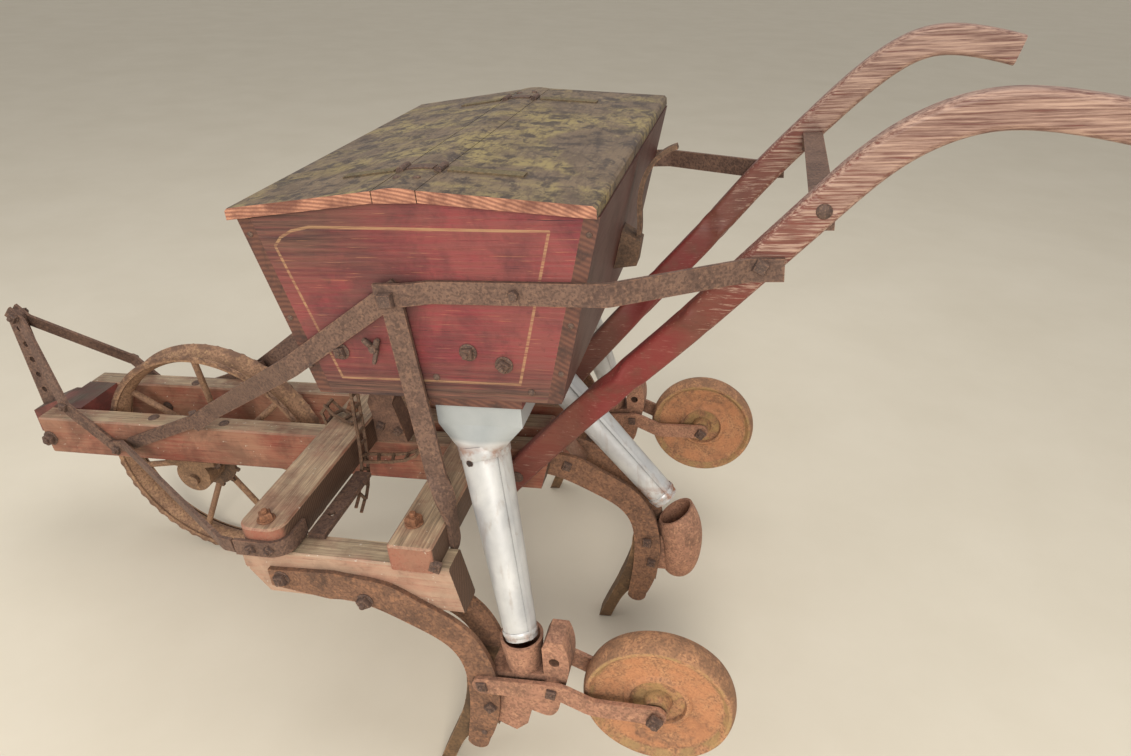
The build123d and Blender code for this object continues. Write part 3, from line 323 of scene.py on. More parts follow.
# Rusty iron: three tones in patches, fine pits, a powdery bloom and rubbed bright edges.
tree, given, end = group(
    "rusty_iron",
    [("Place", "Vector", None), ("Dark", "Color", (0.05, 0.03, 0.02, 1)), ("Mid", "Color", (0.2, 0.1, 0.05, 1)),
     ("Bright", "Color", (0.4, 0.2, 0.08, 1)), ("Edge colour", "Color", (0.3, 0.2, 0.15, 1)),
     ("Patch scale", "Float", 14.0), ("Pit scale", "Float", 260.0), ("Pits", "Float", 0.6), ("Edge", "Float", 0.4)],
    [("Color", "Color"), ("Roughness", "Float"), ("Height", "Float")],
)
patch = noise(tree, given["Place"], given["Patch scale"], 7.0, 0.62, 0.5)
speck = noise(tree, given["Place"], times(tree, given["Patch scale"], 7.0), 5.0, 0.65)
pit = noise(tree, given["Place"], given["Pit scale"], 3.0, 0.5)
lump = noise(tree, given["Place"], times(tree, given["Pit scale"], 0.25), 4.0, 0.6)
tone = mix(tree, ramp(tree, patch, (0.3, 0.15), (0.58, 1.0)), given["Dark"], given["Mid"])
tone = mix(tree, ramp(tree, speck, (0.48, 0.0), (0.72, 0.85)), tone, given["Bright"])
pitted = times(tree, ramp(tree, pit, (0.4, 1.0), (0.52, 0.0)), given["Pits"])
pit_floor = mix(tree, 0.35, given["Dark"], (0.01, 0.007, 0.005, 1))
tone = mix(tree, times(tree, pitted, 0.9), tone, pit_floor)
edge = node(tree, "Group", {"Radius": 0.003}, node_tree=EDGE_MASK).outputs["Edge"]
rubbed = times(tree, times(tree, edge, ramp(tree, speck, (0.4, 0.0), (0.55, 1.0))), given["Edge"])
tone = mix(tree, rubbed, tone, given["Edge colour"])
height = minus(tree, times(tree, lump, 0.8), times(tree, pitted, 0.55))
rough = minus(tree, plus(tree, 0.66, times(tree, speck, 0.22)), times(tree, rubbed, 0.25))
bring_out(tree, end, Color=tone, Roughness=rough, Height=height)
RUST = tree


def rusty(name, dark, mid, bright, edge_colour=(170, 120, 90), metal=0.25, **amounts):
    """Rusty iron in three tones of one rust."""
    material, tree = begin(name)
    tones = {"Dark": lin(*dark), "Mid": lin(*mid), "Bright": lin(*bright), "Edge colour": lin(*edge_colour)}
    iron = node(tree, "Group", {"Place": coordinates(tree), **tones, **amounts_for(amounts)}, node_tree=RUST).outputs
    close(tree, iron["Color"], iron["Roughness"], iron["Height"], 0.5, SURFACE_DEPTH, metallic=metal)
    return material


STRAPS = ("hitch_bar", "hitch_brace_left", "hitch_brace_right", "front_brace_left", "front_brace_right",
          "strut_left", "strut_right", "stay_left", "stay_right", "handle_rung", "tie_bar")
strap_iron = rusty("strap_iron", (82, 62, 54), (116, 90, 76), (142, 110, 90), pits=0.6, patch_scale=20.0)
dress(strap_iron, *STRAPS, "corner_iron_left", "corner_iron_right")
soften(0.0009, *STRAPS)


# Bolts of the deck
# Square nuts on studs, some with washers, and round coach bolt heads, where struts, beams, rails and handles meet.
# Forged iron, run up by hand, so that each nut stands a little askew.
SIDES = (1, -1)
UNDECK = DECK.inverted()
bpy.context.view_layer.update()
corners, faces = [], []
for solid in nodes.values():
    first, to_deck = len(corners), UNDECK @ solid.matrix_world
    corners += [to_deck @ vertex.co for vertex in solid.data.vertices]
    faces += [[first + i for i in polygon.vertices] for polygon in solid.data.polygons]
surfaces = BVHTree.FromPolygons(corners, faces)


def seat(x, y, z, axis, reach=70):
    """Where a line along the axis, coming from outside, first meets the machine, in deck millimetres."""
    axis = Vector(axis).normalized()
    at = surfaces.ray_cast(Vector((x, y, z)) + axis * reach, -axis, reach * 2)[0]
    if at is None:
        raise ValueError(f"nothing under {x} {y} {z}")
    return at


def piece(name, build, material, body="frame", sharp=38):
    """A new piece, drawn in deck millimetres by build(shape), that rides a CAD body."""
    shape = bmesh.new()
    build(shape)
    bmesh.ops.recalc_face_normals(shape, faces=shape.faces)
    for face in shape.faces:
        face.smooth = True
    for edge in shape.edges:
        edge.smooth = len(edge.link_faces) == 2 and edge.calc_face_angle(0.0) < math.radians(sharp)
    mesh = bpy.data.meshes.new(name)
    shape.to_mesh(mesh)
    shape.free()
    mesh.transform(DECK)
    mesh.materials.append(material)
    made = bpy.data.objects.new(name, mesh)
    bpy.context.collection.objects.link(made)
    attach(made, body)


def join(shape, part):
    """Adds one finished part to the shape it belongs to."""
    loose = bpy.data.meshes.new("loose")
    part.to_mesh(loose)
    part.free()
    shape.from_mesh(loose)
    bpy.data.meshes.remove(loose)


def turned(shape, at, axis, profile, steps=24, roll=0.0, rough=0.0, capped=True):
    """Spins (radius, height) points about an axis; 4 or 6 steps make a nut, and rough dents the surface."""
    part = bmesh.new()
    if capped:
        profile = [(0, profile[0][1]), *profile, (0, profile[-1][1])]
    line = [part.verts.new((radius, 0, height)) for radius, height in profile]
    edges = [part.edges.new(pair) for pair in zip(line, line[1:])]
    bmesh.ops.spin(part, geom=line + edges, axis=(0, 0, 1), cent=(0, 0, 0), angle=math.tau, steps=steps,
                   use_merge=True)
    bmesh.ops.remove_doubles(part, verts=part.verts, dist=0.001)
    for vertex in part.verts:
        vertex.co.xy *= 1 + rough * rng.uniform(-1, 1)
    lean = Vector((0, 0, 1)).rotation_difference(Vector(axis)).to_matrix().to_4x4()
    place = Matrix.Translation(at) @ lean @ Matrix.Rotation(roll, 4, "Z")
    bmesh.ops.transform(part, matrix=place, verts=part.verts)
    join(shape, part)


SUNK = -0.4


def nut(shape, at, axis, across, depth, stud=0.0, washer=0.0, corners=4, roll=None):
    """A square or hexagon nut on a face, with the washer under it and the end of its stud."""
    axis, base = Vector(axis).normalized(), Vector(at)
    tip = axis + Vector([rng.uniform(-0.05, 0.05) for _ in range(3)])
    if washer:
        turned(shape, base, axis, ((washer, SUNK), (washer, 1.4), (washer - 1, 2.2)), 22, rough=0.025)
        base = base + axis * 1.9
    corner = across / 2 / math.cos(math.pi / corners)
    roll = rng.uniform(0, math.tau) if roll is None else roll
    turned(shape, base, tip, ((corner, SUNK), (corner, depth * 0.75), (corner * 0.84, depth)), corners, roll)
    if stud:
        thick, top = across * 0.27, depth + stud
        turned(shape, base, tip, ((thick, 0), (thick, top - 1.5), (thick * 0.75, top)), 12, rough=0.03)


def nut_on(shape, spot, axis, across, depth, stud=0.0, washer=0.0, reach=70, **more):
    """A nut on the face that a line through the spot meets."""
    nut(shape, seat(*spot, axis, reach), axis, across, depth, stud, washer, **more)


def dome(shape, at, axis, radius, height):
    """A round bolt head."""
    steps = [(radius * math.cos(a), height * math.sin(a)) for a in (0, 0.25, 0.6, 0.95, 1.25, 1.5)]
    turned(shape, at, axis, [(radius * 0.98, SUNK)] + steps, 22, rough=0.015)


def dome_on(shape, spot, axis, radius, height, reach=70):
    """A bolt head on the face that a line through the spot meets."""
    dome(shape, seat(*spot, axis, reach), axis, radius, height)


UP = (0, 0, 1)


def deck_fixings(shape):
    for s in SIDES:
        out, back = (0, s, 0), (0, -s, 0)
        # foot of the strut, then the bolts through the bars of the outer foot, nut outside and nut inside
        nut_on(shape, (0, s * 352, 10), out, 17, 8, 4)
        for x, z in ((257, -43), (124, -70)):
            nut_on(shape, (x, s * 412, z), out, 17, 9, 5, 13)
            nut_on(shape, (x, s * 362, z), back, 16, 7, 4, reach=30)
        # heads on top of the rails, nuts on their sides at the nose, and the foot of the handle
        dome_on(shape, (733, s * 71, 0), UP, 11, 4)
        dome_on(shape, (570, s * 76, 0), UP, 10, 4)
        nut_on(shape, (975, s * 101, -47), out, 22, 11, 5, 16, corners=6)
        nut_on(shape, (807, s * 104, -55), out, 15, 7, 5)
        dome_on(shape, (-40, s * 140, -24), out, 11, 6)
        # the stay and the rung on the handle
        nut_on(shape, (-433, s * 240, 402), out, 17, 8, roll=0.3)
        dome_on(shape, (-505, s * 240, 470), out, 10, 5)
        nut_on(shape, (612, s * 100, 4), UP, 14, 6)
    dome_on(shape, (810, -50, -53), (0, 1, 0), 12, 6, reach=30)


bolt_iron = rusty("bolt_iron", (64, 50, 46), (98, 78, 68), (136, 108, 90), pits=0.35, patch_scale=60.0)
piece("deck_fixings", deck_fixings, bolt_iron)


# Nuts on the cross beams
# A tall square nut on a washer, with the end of its bolt, stands over every crossing of the beams.
# Plain iron, rusted orange.
def cross_nuts(shape):
    for s in SIDES:
        nut_on(shape, (47, s * 367, 43), UP, 19, 12, 7, 14)
        nut_on(shape, (272, s * 396, 50), UP, 18, 10, 6, 14)
        nut_on(shape, (284, s * 78, 50), UP, 18, 10, 6, 14)
    nut_on(shape, (262, 0, 50), UP, 18, 10, 6, 14)


nut_rust = rusty("nut_rust", (92, 62, 46), (140, 94, 66), (172, 122, 88), pits=0.3, patch_scale=70.0)
piece("cross_nuts", cross_nuts, nut_rust)


# Front wheel
# Iron: a cast hub on its axle, seven round spokes staggered in it, and a hollow rim with a lip on each side.
# The rust has left both lips in low uneven waves.
WHEEL_X = 661
WHEEL_Z = (243 - 435 + WHEEL_X * math.sin(PITCH)) / math.cos(PITCH)
DECK_START = Matrix.Rotation(-PITCH, 3, "Y") @ DECK.translation


def deck_place(tree):
    """Deck coordinates in metres, for marks that lie at one place."""
    return coordinates(tree, shift=-DECK_START)


def from_side(tree, place):
    """A place as it is seen from the side, with no Y."""
    return node(tree, "VectorMath", {0: place, 1: (1, 0, 1)}, operation="MULTIPLY").outputs[0]


def radial(tree, x, z):
    """Distance in metres from a line across the machine at deck (x, z)."""
    flat = from_side(tree, deck_place(tree))
    return node(tree, "VectorMath", {0: flat, 1: (x / 1000, 0, z / 1000)}, operation="DISTANCE").outputs["Value"]


def fade(tree, value, start, stop, low=0.0, high=1.0):
    """Goes from low to high while the value goes from start to stop."""
    return node(tree, "MapRange", {0: value, 1: start, 2: stop, 3: low, 4: high}).outputs[0]


def band(tree, value, low, high, soft):
    """1 where the value lies between low and high, with soft ends."""
    return times(tree, fade(tree, value, low - soft, low), fade(tree, value, high, high + soft, 1.0, 0.0))


def broken(tree, place, mask, scale=30.0, low=0.4, high=0.56):
    """A mask with a ragged, patchy edge."""
    return times(tree, mask, ramp(tree, noise(tree, place, scale, 7.0, 0.65), (low, 0.0), (high, 1.0)))


def zoned(name, centre, zones, **tones):
    """Rust for a wheel; zones are (inner, outer, colour, strength) rings about the axle in millimetres."""
    material, tree = begin(name)
    place = coordinates(tree)
    tones = {key: lin(*value) for key, value in tones.items()}
    iron = node(tree, "Group", {"Place": place, **tones, "Patch scale": 14.0, "Pits": 0.6}, node_tree=RUST).outputs
    far, colour = radial(tree, *centre), iron["Color"]
    for inner, outer, tone, strength in zones:
        ring = broken(tree, place, band(tree, far, inner / 1000, outer / 1000, 0.003), 34.0, 0.42, 0.56)
        colour = mix(tree, times(tree, ring, strength), colour, lin(*tone))
    close(tree, colour, iron["Roughness"], iron["Height"], 0.5, SURFACE_DEPTH, metallic=0.2)
    return material


hub_ring, spoke_ring = (0, 36, (92, 70, 54), 0.7), (36, 205, (130, 100, 80), 0.6)
lip_ring = (236, 246, (104, 78, 64), 0.85)
wheel_iron = zoned("wheel_iron", (WHEEL_X, WHEEL_Z), (hub_ring, spoke_ring, lip_ring),
                   Dark=(116, 86, 66), Mid=(160, 124, 96), Bright=(186, 150, 112))
dress(wheel_iron, "front_wheel")

WAVES, STEPS_TO_A_WAVE, WAVE_HEIGHT = 54, 6, 2.6
LIP = ((230, 25.2), (230, 28.2), (239.6, 29.6), (239.6, 25.6))


def rim_waves(shape):
    for s in SIDES:
        line = [shape.verts.new((radius, s * reach, 0)) for radius, reach in LIP]
        edges = [shape.edges.new(pair) for pair in zip(line, line[1:] + line[:1])]
        bmesh.ops.spin(shape, geom=line + edges, axis=(0, 1, 0), cent=(0, 0, 0), angle=math.tau,
                       steps=WAVES * STEPS_TO_A_WAVE, use_merge=True)
    for vertex in shape.verts:
        far = math.hypot(vertex.co.x, vertex.co.z)
        if far > 235:
            wave = WAVE_HEIGHT * math.cos(WAVES * math.atan2(vertex.co.z, vertex.co.x))
            vertex.co.xz *= 1 + (wave + rng.uniform(-0.25, 0.25)) / far
    bmesh.ops.translate(shape, vec=(WHEEL_X, 0, WHEEL_Z), verts=shape.verts)


piece("rim_waves", rim_waves, wheel_iron, "front_wheel")


# Bearings, and nuts on the irons
# A cast bearing hangs under each rail for the axle, on two bolts with square nuts below.
# Nuts of the same kind hold the hopper's stands, the corner irons and the top of the hitch bar.
bearing_iron = rusty("bearing_iron", (84, 64, 50), (140, 108, 82), (172, 136, 102), pits=0.45, patch_scale=16.0)
dress(bearing_iron, "bearing_left", "bearing_right")


def iron_nuts(shape):
    for s in SIDES:
        out, down = (0, s, 0), (0, 0, -1)
        for x in (616, 706):
            nut_on(shape, (x, s * 76, -95), down, 17, 9, 7, reach=40)
        for x, z in ((190, 24), (222, 34)):
            nut_on(shape, (x, s * 102, z), out, 14, 7, 4, reach=30)
        for x in (258, 288):
            nut_on(shape, (x, s * 430, 17), out, 13, 6, 5, reach=30)
        nut_on(shape, (1049, s * 12, 182), out, 17, 7, 5, 12, reach=40)
        nut_on(shape, (905, s * 106, 34), out, 15, 7, 4, reach=40)


piece("iron_nuts", iron_nuts, bolt_iron)


# Feet, boots and forks
# Each foot is a pair of curved flat bars bolted on both sides of its beam, with a cast boot between them for the seed
# and, on the outer feet, a forged fork for the press wheel. Boots and forks are a brighter brown than the bars.
FEET = ("left", "centre", "right")
ROWS = {"left": (386, 0, 0), "centre": (0, -197, -197 * math.tan(PITCH)), "right": (-386, 0, 0)}
foot_iron = rusty("foot_iron", (84, 62, 50), (134, 98, 76), (168, 122, 90), pits=0.5, patch_scale=17.0)
dress(foot_iron, *[f"foot_bars_{row}" for row in FEET])
boot_iron = rusty("boot_iron", (116, 86, 70), (172, 126, 102), (200, 152, 120), pits=0.5, patch_scale=17.0)
dress(boot_iron, *[f"boot_{row}" for row in FEET], "press_fork_left", "press_fork_right")


def foot_fixings(shape):
    for row, (y, dx, dz) in ROWS.items():
        for way in (1, -1):
            out = (0, way, 0)
            for x, z, across in ((-50, -263, 15), (-44, -212, 16)):
                nut_on(shape, (x + dx, y + way * 26, z + dz), out, across, 7, 4, reach=40)
            if row == "centre":
                nut_on(shape, (99 + dx, y + way * 30, -53 + dz), out, 16, 8, 5, reach=30)
            else:
                nut_on(shape, (-153, y + way * 30, -207), out, 15, 6, 2, reach=30)
                nut_on(shape, (-308, y + way * 38, -228), out, 19, 9, 6, reach=30, roll=0.2)
                dome_on(shape, (-32, y + way * 24, -325), out, 5, 3, reach=20)


piece("foot_fixings", foot_fixings, bolt_iron)


# Shovels
# Forged blades, curved and pointed, bolted on the lower ends of the feet.
# The soil has kept their edges bright brown.
shovel_iron = rusty("shovel_iron", (72, 56, 42), (112, 86, 60), (146, 112, 80), edge_colour=(186, 150, 120),
                    pits=0.4, patch_scale=8.0, edge=0.7)
dress(shovel_iron, *[f"shovel_{row}" for row in FEET])


# Press wheels
# Two small cast wheels, with a broad tread and a dished disc, that close the furrow behind the outer feet.
# Orange rust, ochre in rings about the hub and under the rim, dark along the edges.
hub_ring, disc_ring = (0, 38, (178, 150, 94), 0.5), (44, 92, (192, 132, 92), 0.6)
under_rim, rim_ring = (98, 107, (166, 140, 92), 0.6), (110, 116, (120, 90, 68), 0.6)
press_iron = zoned("press_iron", (-308, -228), (hub_ring, disc_ring, under_rim, rim_ring),
                   Dark=(126, 90, 70), Mid=(178, 130, 94), Bright=(204, 152, 108))
dress(press_iron, "press_wheel_left", "press_wheel_right")


# Seed drive
# Cast sprockets, the feed shaft carried by the stands, the slipped chain and the lever of the seed gate.
# Never painted, and all of it seized under a dull dark rust.
cast_iron = rusty("cast_iron_dark", (70, 54, 44), (108, 84, 66), (134, 104, 80), pits=0.5, patch_scale=20.0)
dress(cast_iron, "wheel_sprocket", "feed_shaft", "drive_chain", "gate_lever")


# Hopper ends
# Two wide boards on edge with a strong grain: crimson paint, browner at the foot and the upper front.
# A thin cream line follows the edges of each, worn away in places.
def facing_side(tree):
    """1 where the surface looks to the left or the right."""
    sideways = split(tree, node(tree, "NewGeometry").outputs["Normal"])["Y"]
    return ramp(tree, calc(tree, "ABSOLUTE", sideways), (0.75, 0.0), (0.95, 1.0))


# Stroke: how near a place is to a straight line between two points, seen from the side.
tree, given, end = group(
    "stroke",
    [("Place", "Vector", None), ("Start", "Vector", (0, 0, 0)), ("Reach", "Vector", (1, 0, 0)),
     ("Half", "Float", 0.0025)],
    [("Mask", "Float")],
)
start, reach = given["Start"], given["Reach"]
apart = node(tree, "VectorMath", {0: from_side(tree, given["Place"]), 1: start}, operation="SUBTRACT").outputs[0]
along = node(tree, "VectorMath", {0: apart, 1: reach}, operation="DOT_PRODUCT").outputs["Value"]
whole = node(tree, "VectorMath", {0: reach, 1: reach}, operation="DOT_PRODUCT").outputs["Value"]
share = calc(tree, "DIVIDE", along, whole, True)
nearest = node(tree, "VectorMath", {0: reach, "Scale": share}, operation="SCALE").outputs[0]
off = node(tree, "VectorMath", {0: apart, 1: nearest}, operation="DISTANCE").outputs["Value"]
near = calc(tree, "DIVIDE", off, given["Half"])
bring_out(tree, end, Mask=ramp(tree, times(tree, near, 0.5), (0.42, 1.0), (0.56, 0.0)))
STROKE = tree


def strokes(tree, place, half, points):
    """One mask for a line through (x, z) points in deck millimetres."""
    mask = 0.0
    for (ax, az), (bx, bz) in zip(points, points[1:]):
        start, reach = (ax / 1000, 0, az / 1000), ((bx - ax) / 1000, 0, (bz - az) / 1000)
        values = {"Place": place, "Start": start, "Reach": reach, "Half": half}
        mask = calc(tree, "MAXIMUM", mask, node(tree, "Group", values, node_tree=STROKE).outputs["Mask"])
    return mask


CREAM_LINE = ((189, 456), (133, 262), (-127, 263), (-185, 476), (134, 482), (160, 477), (178, 468), (189, 456))
STAIN = ((30, 388), (70, 372), (205, 292))


def end_marks(tree, colour, along, place):
    """Brown where the paint has gone, a stain, the cream line and flecks of pale wood."""
    spot = deck_place(tree)
    at = split(tree, spot)
    threads = ramp(tree, noise(tree, along, 8.0, 7.0, 0.65), (0.36, 0.0), (0.62, 1.0))
    brown = mix(tree, threads, lin(54, 40, 38), lin(110, 78, 64))
    upper_front = times(tree, fade(tree, at["X"], -0.06, 0.14, 0.0, 0.9), fade(tree, at["Z"], 0.37, 0.45))
    lower_rear = times(tree, fade(tree, at["X"], -0.12, -0.2, 0.0, 0.5), fade(tree, at["Z"], 0.34, 0.27))
    gone = calc(tree, "MAXIMUM", upper_front, lower_rear)
    gone = calc(tree, "MAXIMUM", gone, fade(tree, at["Z"], 0.31, 0.25))
    patches = ramp(tree, noise(tree, along, 5.0, 7.0, 0.7, 0.4), (0.3, 0.45), (0.5, 1.0))
    colour = mix(tree, times(tree, gone, patches), colour, brown)

    clouds = ramp(tree, noise(tree, place, 25.0, 5.0), (0.3, 0.2), (0.6, 0.8))
    stain = times(tree, strokes(tree, spot, 0.034, STAIN), clouds)
    colour = mix(tree, times(tree, stain, 0.5), colour, lin(86, 62, 56))

    side = facing_side(tree)
    stripe = times(tree, strokes(tree, spot, 0.0019, CREAM_LINE), side)
    worn_away = ramp(tree, noise(tree, along, 14.0, 7.0, 0.7), (0.38, 0.05), (0.56, 0.8))
    colour = mix(tree, times(tree, stripe, worn_away), colour, lin(164, 128, 92))
    flecks = ramp(tree, noise(tree, along, 20.0, 4.0, 0.5), (0.66, 0.0), (0.72, 1.0))
    return mix(tree, times(tree, flecks, times(tree, side, 0.35)), colour, lin(206, 146, 104))


hopper_end_paint = painted_wood("hopper_end_paint", "x", (142, 44, 56), (126, 66, 62), (140, 96, 74), (50, 32, 36),
                                bump=0.8, marks=end_marks, fading=0.8, wear=0.34, edge_wear=0.8, dirt=0.6, fibre=1.5)
dress(hopper_end_paint, "hopper_end_left", "hopper_end_right")
soften(TIMBER_EDGE, "hopper_end_left", "hopper_end_right")


# Hopper boards and floor
# The sloping front and rear boards are nailed to the ends, over the floor with its three seed holes.
# The same crimson, worn to brown at the back, and bare end grain where they show beside the ends.
def long_marks(tree, colour, along, place):
    """The worn rear board, and the sawn ends."""
    sawn = mix(tree, end_grain(tree, place, "Y", 42.0, 2.0, 3.0), lin(84, 54, 46), lin(106, 70, 56))
    dark_spots = ramp(tree, noise(tree, place, 40.0, 6.0, 0.6), (0.5, 0.0), (0.66, 0.8))
    sawn = mix(tree, dark_spots, sawn, lin(56, 42, 38))
    behind = fade(tree, split(tree, deck_place(tree))["X"], -0.12, -0.17)
    rear = mix(tree, noise(tree, along, 6.0, 7.0, 0.65), lin(26, 15, 11), lin(66, 34, 22))
    colour = mix(tree, times(tree, behind, 0.72), colour, rear)
    return mix(tree, facing_side(tree), colour, sawn)


hopper_long_paint = painted_wood("hopper_long_paint", "y", (128, 48, 50), (118, 66, 58), (118, 84, 68), (52, 36, 34),
                                 marks=long_marks, fading=0.75, wear=0.25, edge_wear=0.7, dirt=0.45, fibre=0.9)
dress(hopper_long_paint, "hopper_board_front", "hopper_board_rear", "hopper_floor")
soften(TIMBER_EDGE, "hopper_board_front", "hopper_board_rear")


# Hopper stands
# Tapered castings bolted to the rails, that carry the hopper's front edge and the feed shaft.
# Smoother and browner than the straps.
stand_iron = rusty("stand_iron", (78, 58, 48), (116, 86, 70), (142, 106, 84), pits=0.4, patch_scale=12.0)
dress(stand_iron, "hopper_stand_left", "hopper_stand_right")


# Bolts and nails of the hopper
# Forged iron. Each end has the square corner bolt, the bolt of the stay, three nuts on washers, a bent wing nut
# and two small heads. Nails are driven into the end grain of the sloping boards.
def hopper_fixings(shape):
    for s in SIDES:
        out = (0, s, 0)
        nut_on(shape, (34, s * 345, 391), out, 20, 10, roll=0.85)
        nut_on(shape, (-134, s * 334, 396), out, 13, 7, corners=6)
        for x, z, stud in ((127, 303, 3), (-60, 309, 6), (-108, 292, 7)):
            nut_on(shape, (x, s * 330, z), out, 15, 7, stud, 12.5)
        spot = seat(74, s * 330, 312, out)
        turned(shape, spot, out, ((6.5, SUNK), (6.5, 9), (5, 11)), 12, rough=0.05)
        for lean in (-0.5, 0.5):
            turned(shape, spot + Vector((lean * 14, s * 7, 9)), (lean, s * 0.4, 0.9),
                   ((4.4, -9), (4.4, 5), (3, 8)), 10, rough=0.06)
        turned(shape, spot + Vector((-3, s * 7, -7)), (0.25, s * 0.3, -1),
               ((3.2, -6), (3.2, 12), (2.2, 15)), 10, rough=0.06)
        for x, z in ((-9, 269), (-142, 252)):
            dome_on(shape, (x, s * 330, z), out, 5, 3)


# The middle of a sloping board's edge, in front and behind, from the hopper's foot to its top.
BOARD_FOOT, BOARD_TOP = 236, 494
BOARD_LINES = ((1, 174, 236), (-1, -182, -249))


def board_nails(shape):
    for s in SIDES:
        for z in (282, 352, 472):
            for sign, low, high in BOARD_LINES:
                x = low + (high - low) * (z - BOARD_FOOT) / (BOARD_TOP - BOARD_FOOT) - sign * 9
                dome_on(shape, (x, s * 325, z), (0, s, 0), 4.2, 2)


piece("hopper_fixings", hopper_fixings, bolt_iron)
piece("board_nails", board_nails, bolt_iron)


# Lid
# Two boards hinged on a strip along the ridge, never repainted: weathered to brown with patches of yellow green
# and dark mottling, and bare orange end grain over the hopper's ends.
def lid_marks(tree, colour, along, place):
    blotches = ramp(tree, noise(tree, place, 7.0, 8.0, 0.66, 0.6), (0.47, 0.0), (0.6, 0.85))
    mottling = ramp(tree, noise(tree, place, 34.0, 9.0, 0.72, 0.5), (0.49, 0.0), (0.58, 0.9))
    streaks = ramp(tree, noise(tree, coordinates(tree, (60, 14, 60)), 2.0, 9.0, 0.75), (0.5, 0.0), (0.6, 0.6))
    dust = ramp(tree, noise(tree, place, 90.0, 6.0, 0.7), (0.58, 0.0), (0.68, 0.5))
    layers = ((blotches, (150, 132, 84)), (mottling, (60, 48, 42)), (streaks, (78, 62, 50)), (dust, (158, 140, 104)))
    for mask, tone in layers:
        colour = mix(tree, mask, colour, lin(*tone))
    sawn = mix(tree, end_grain(tree, place, "Y", 62.0, 1.6, 2.0, 0.6), lin(138, 92, 74), lin(186, 132, 104))
    dark_spots = ramp(tree, noise(tree, place, 24.0, 6.0, 0.6), (0.44, 0.0), (0.6, 0.8))
    sawn = mix(tree, dark_spots, sawn, lin(98, 58, 48))
    return mix(tree, facing_side(tree), colour, sawn)


LID = ("lid_ridge_strip", "lid_front", "lid_rear")
lid_wood = painted_wood("lid_wood", "y", (104, 86, 70), (118, 98, 76), (134, 116, 90), (56, 44, 36),
                        bump=0.8, marks=lid_marks, fading=0.9, wear=0.35, edge_wear=0.5, dirt=0.45, fibre=1.2)
dress(lid_wood, *LID)
soften(0.0042, *LID, segments=3)


# Lid hinges
# Thin iron straps lie across each board near both ends, screwed down and rolled round a pin at the ridge strip.
# They ride the boards; the knuckles and the strap between them stay on the strip.
HINGE_Y = 240
STRAP_WIDTH = 19


def bar(shape, points, width, thick, across=(0, 1, 0), out=UP):
    """A flat strap: one edge extruded along the points, given its thickness and sunk a little into what it lies on."""
    strap, sunk = bmesh.new(), 0.3
    half = Vector(across).normalized() * width / 2
    tip = [strap.edges.new([strap.verts.new(points[0] - half), strap.verts.new(points[0] + half)])]
    for start, stop in zip(points, points[1:]):
        made = bmesh.ops.extrude_edge_only(strap, edges=tip)["geom"]
        fresh = [item for item in made if isinstance(item, bmesh.types.BMVert)]
        bmesh.ops.translate(strap, vec=stop - start, verts=fresh)
        tip = [item for item in made if isinstance(item, bmesh.types.BMEdge) and set(item.verts) == set(fresh)]
    bmesh.ops.recalc_face_normals(strap, faces=strap.faces)
    if strap.faces[:][0].normal.dot(Vector(out)) > 0:
        bmesh.ops.reverse_faces(strap, faces=strap.faces)
    bmesh.ops.solidify(strap, geom=strap.faces[:], thickness=thick + sunk)
    bmesh.ops.translate(strap, vec=Vector(out) * -sunk, verts=strap.verts)
    join(shape, strap)


def lid_top(x, y):
    return seat(x, y, 520, UP)


def strap_hinges(shape, near, far):
    for s in SIDES:
        bar(shape, [lid_top(near + (far - near) * i / 4, s * HINGE_Y) for i in range(5)], STRAP_WIDTH, 2.2)


# A knuckle's outline, with the two joints between its three leaves.
KNUCKLE = ((5.2, 0), (5.2, 9.6), (4.2, 10), (5.2, 10.4), (5.2, 19.6), (4.2, 20), (5.2, 20.4), (5.2, 30))


def knuckles(shape):
    for s in SIDES:
        for x in (30, -23):
            turned(shape, lid_top(x, s * HINGE_Y) + Vector((0, -15, 1.5)), (0, 1, 0), KNUCKLE, 12, rough=0.04)
        bar(shape, [lid_top(x, s * HINGE_Y) for x in (22, 12, -4, -14)], STRAP_WIDTH, 2.0)
        for x, y in ((20, 287), (-8, 289)):
            dome(shape, lid_top(x, s * y), UP, 5.5, 2.4)


hinge_iron = rusty("hinge_iron", (76, 66, 48), (112, 98, 70), (140, 124, 88), pits=0.4, patch_scale=26.0)
piece("lid_straps_front", lambda shape: strap_hinges(shape, 41, 116), hinge_iron, "lid_front")
piece("lid_straps_rear", lambda shape: strap_hinges(shape, -34, -136), hinge_iron, "lid_rear")
piece("lid_knuckles", knuckles, bolt_iron)


# Handles
# Bent ash, bolted outside the rails behind the rear cross beam and stayed from the hopper's ends. Red-brown low
# down with one deep red patch; from the strap back, hands have rubbed the paint off to pale wood.
def handle_marks(tree, colour, along, place):
    at = split(tree, deck_place(tree))
    streak = noise(tree, along, 10.0, 8.0, 0.68)
    pale = mix(tree, ramp(tree, streak, (0.38, 0.0), (0.62, 1.0)), lin(94, 64, 56), lin(176, 146, 128))
    back = fade(tree, at["X"], -0.34, -0.62, -0.1, 1.0)
    rubbed = plus(tree, streak, times(tree, back, 0.28))
    colour = mix(tree, ramp(tree, rubbed, (0.56, 0.0), (0.68, 0.9)), colour, pale)
    deep = broken(tree, place, band(tree, at["X"], -0.31, -0.20, 0.04), 12.0, 0.4, 0.52)
    return mix(tree, times(tree, deep, 0.55), colour, lin(132, 38, 44))


handle_paint = painted_wood("handle_paint", "x", (112, 54, 46), (116, 76, 62), (140, 112, 94), (56, 38, 34),
                            marks=handle_marks, fading=0.6, wear=0.36, edge_wear=0.7, dirt=0.3, fibre=0.7)
dress(handle_paint, "handle_left", "handle_right")


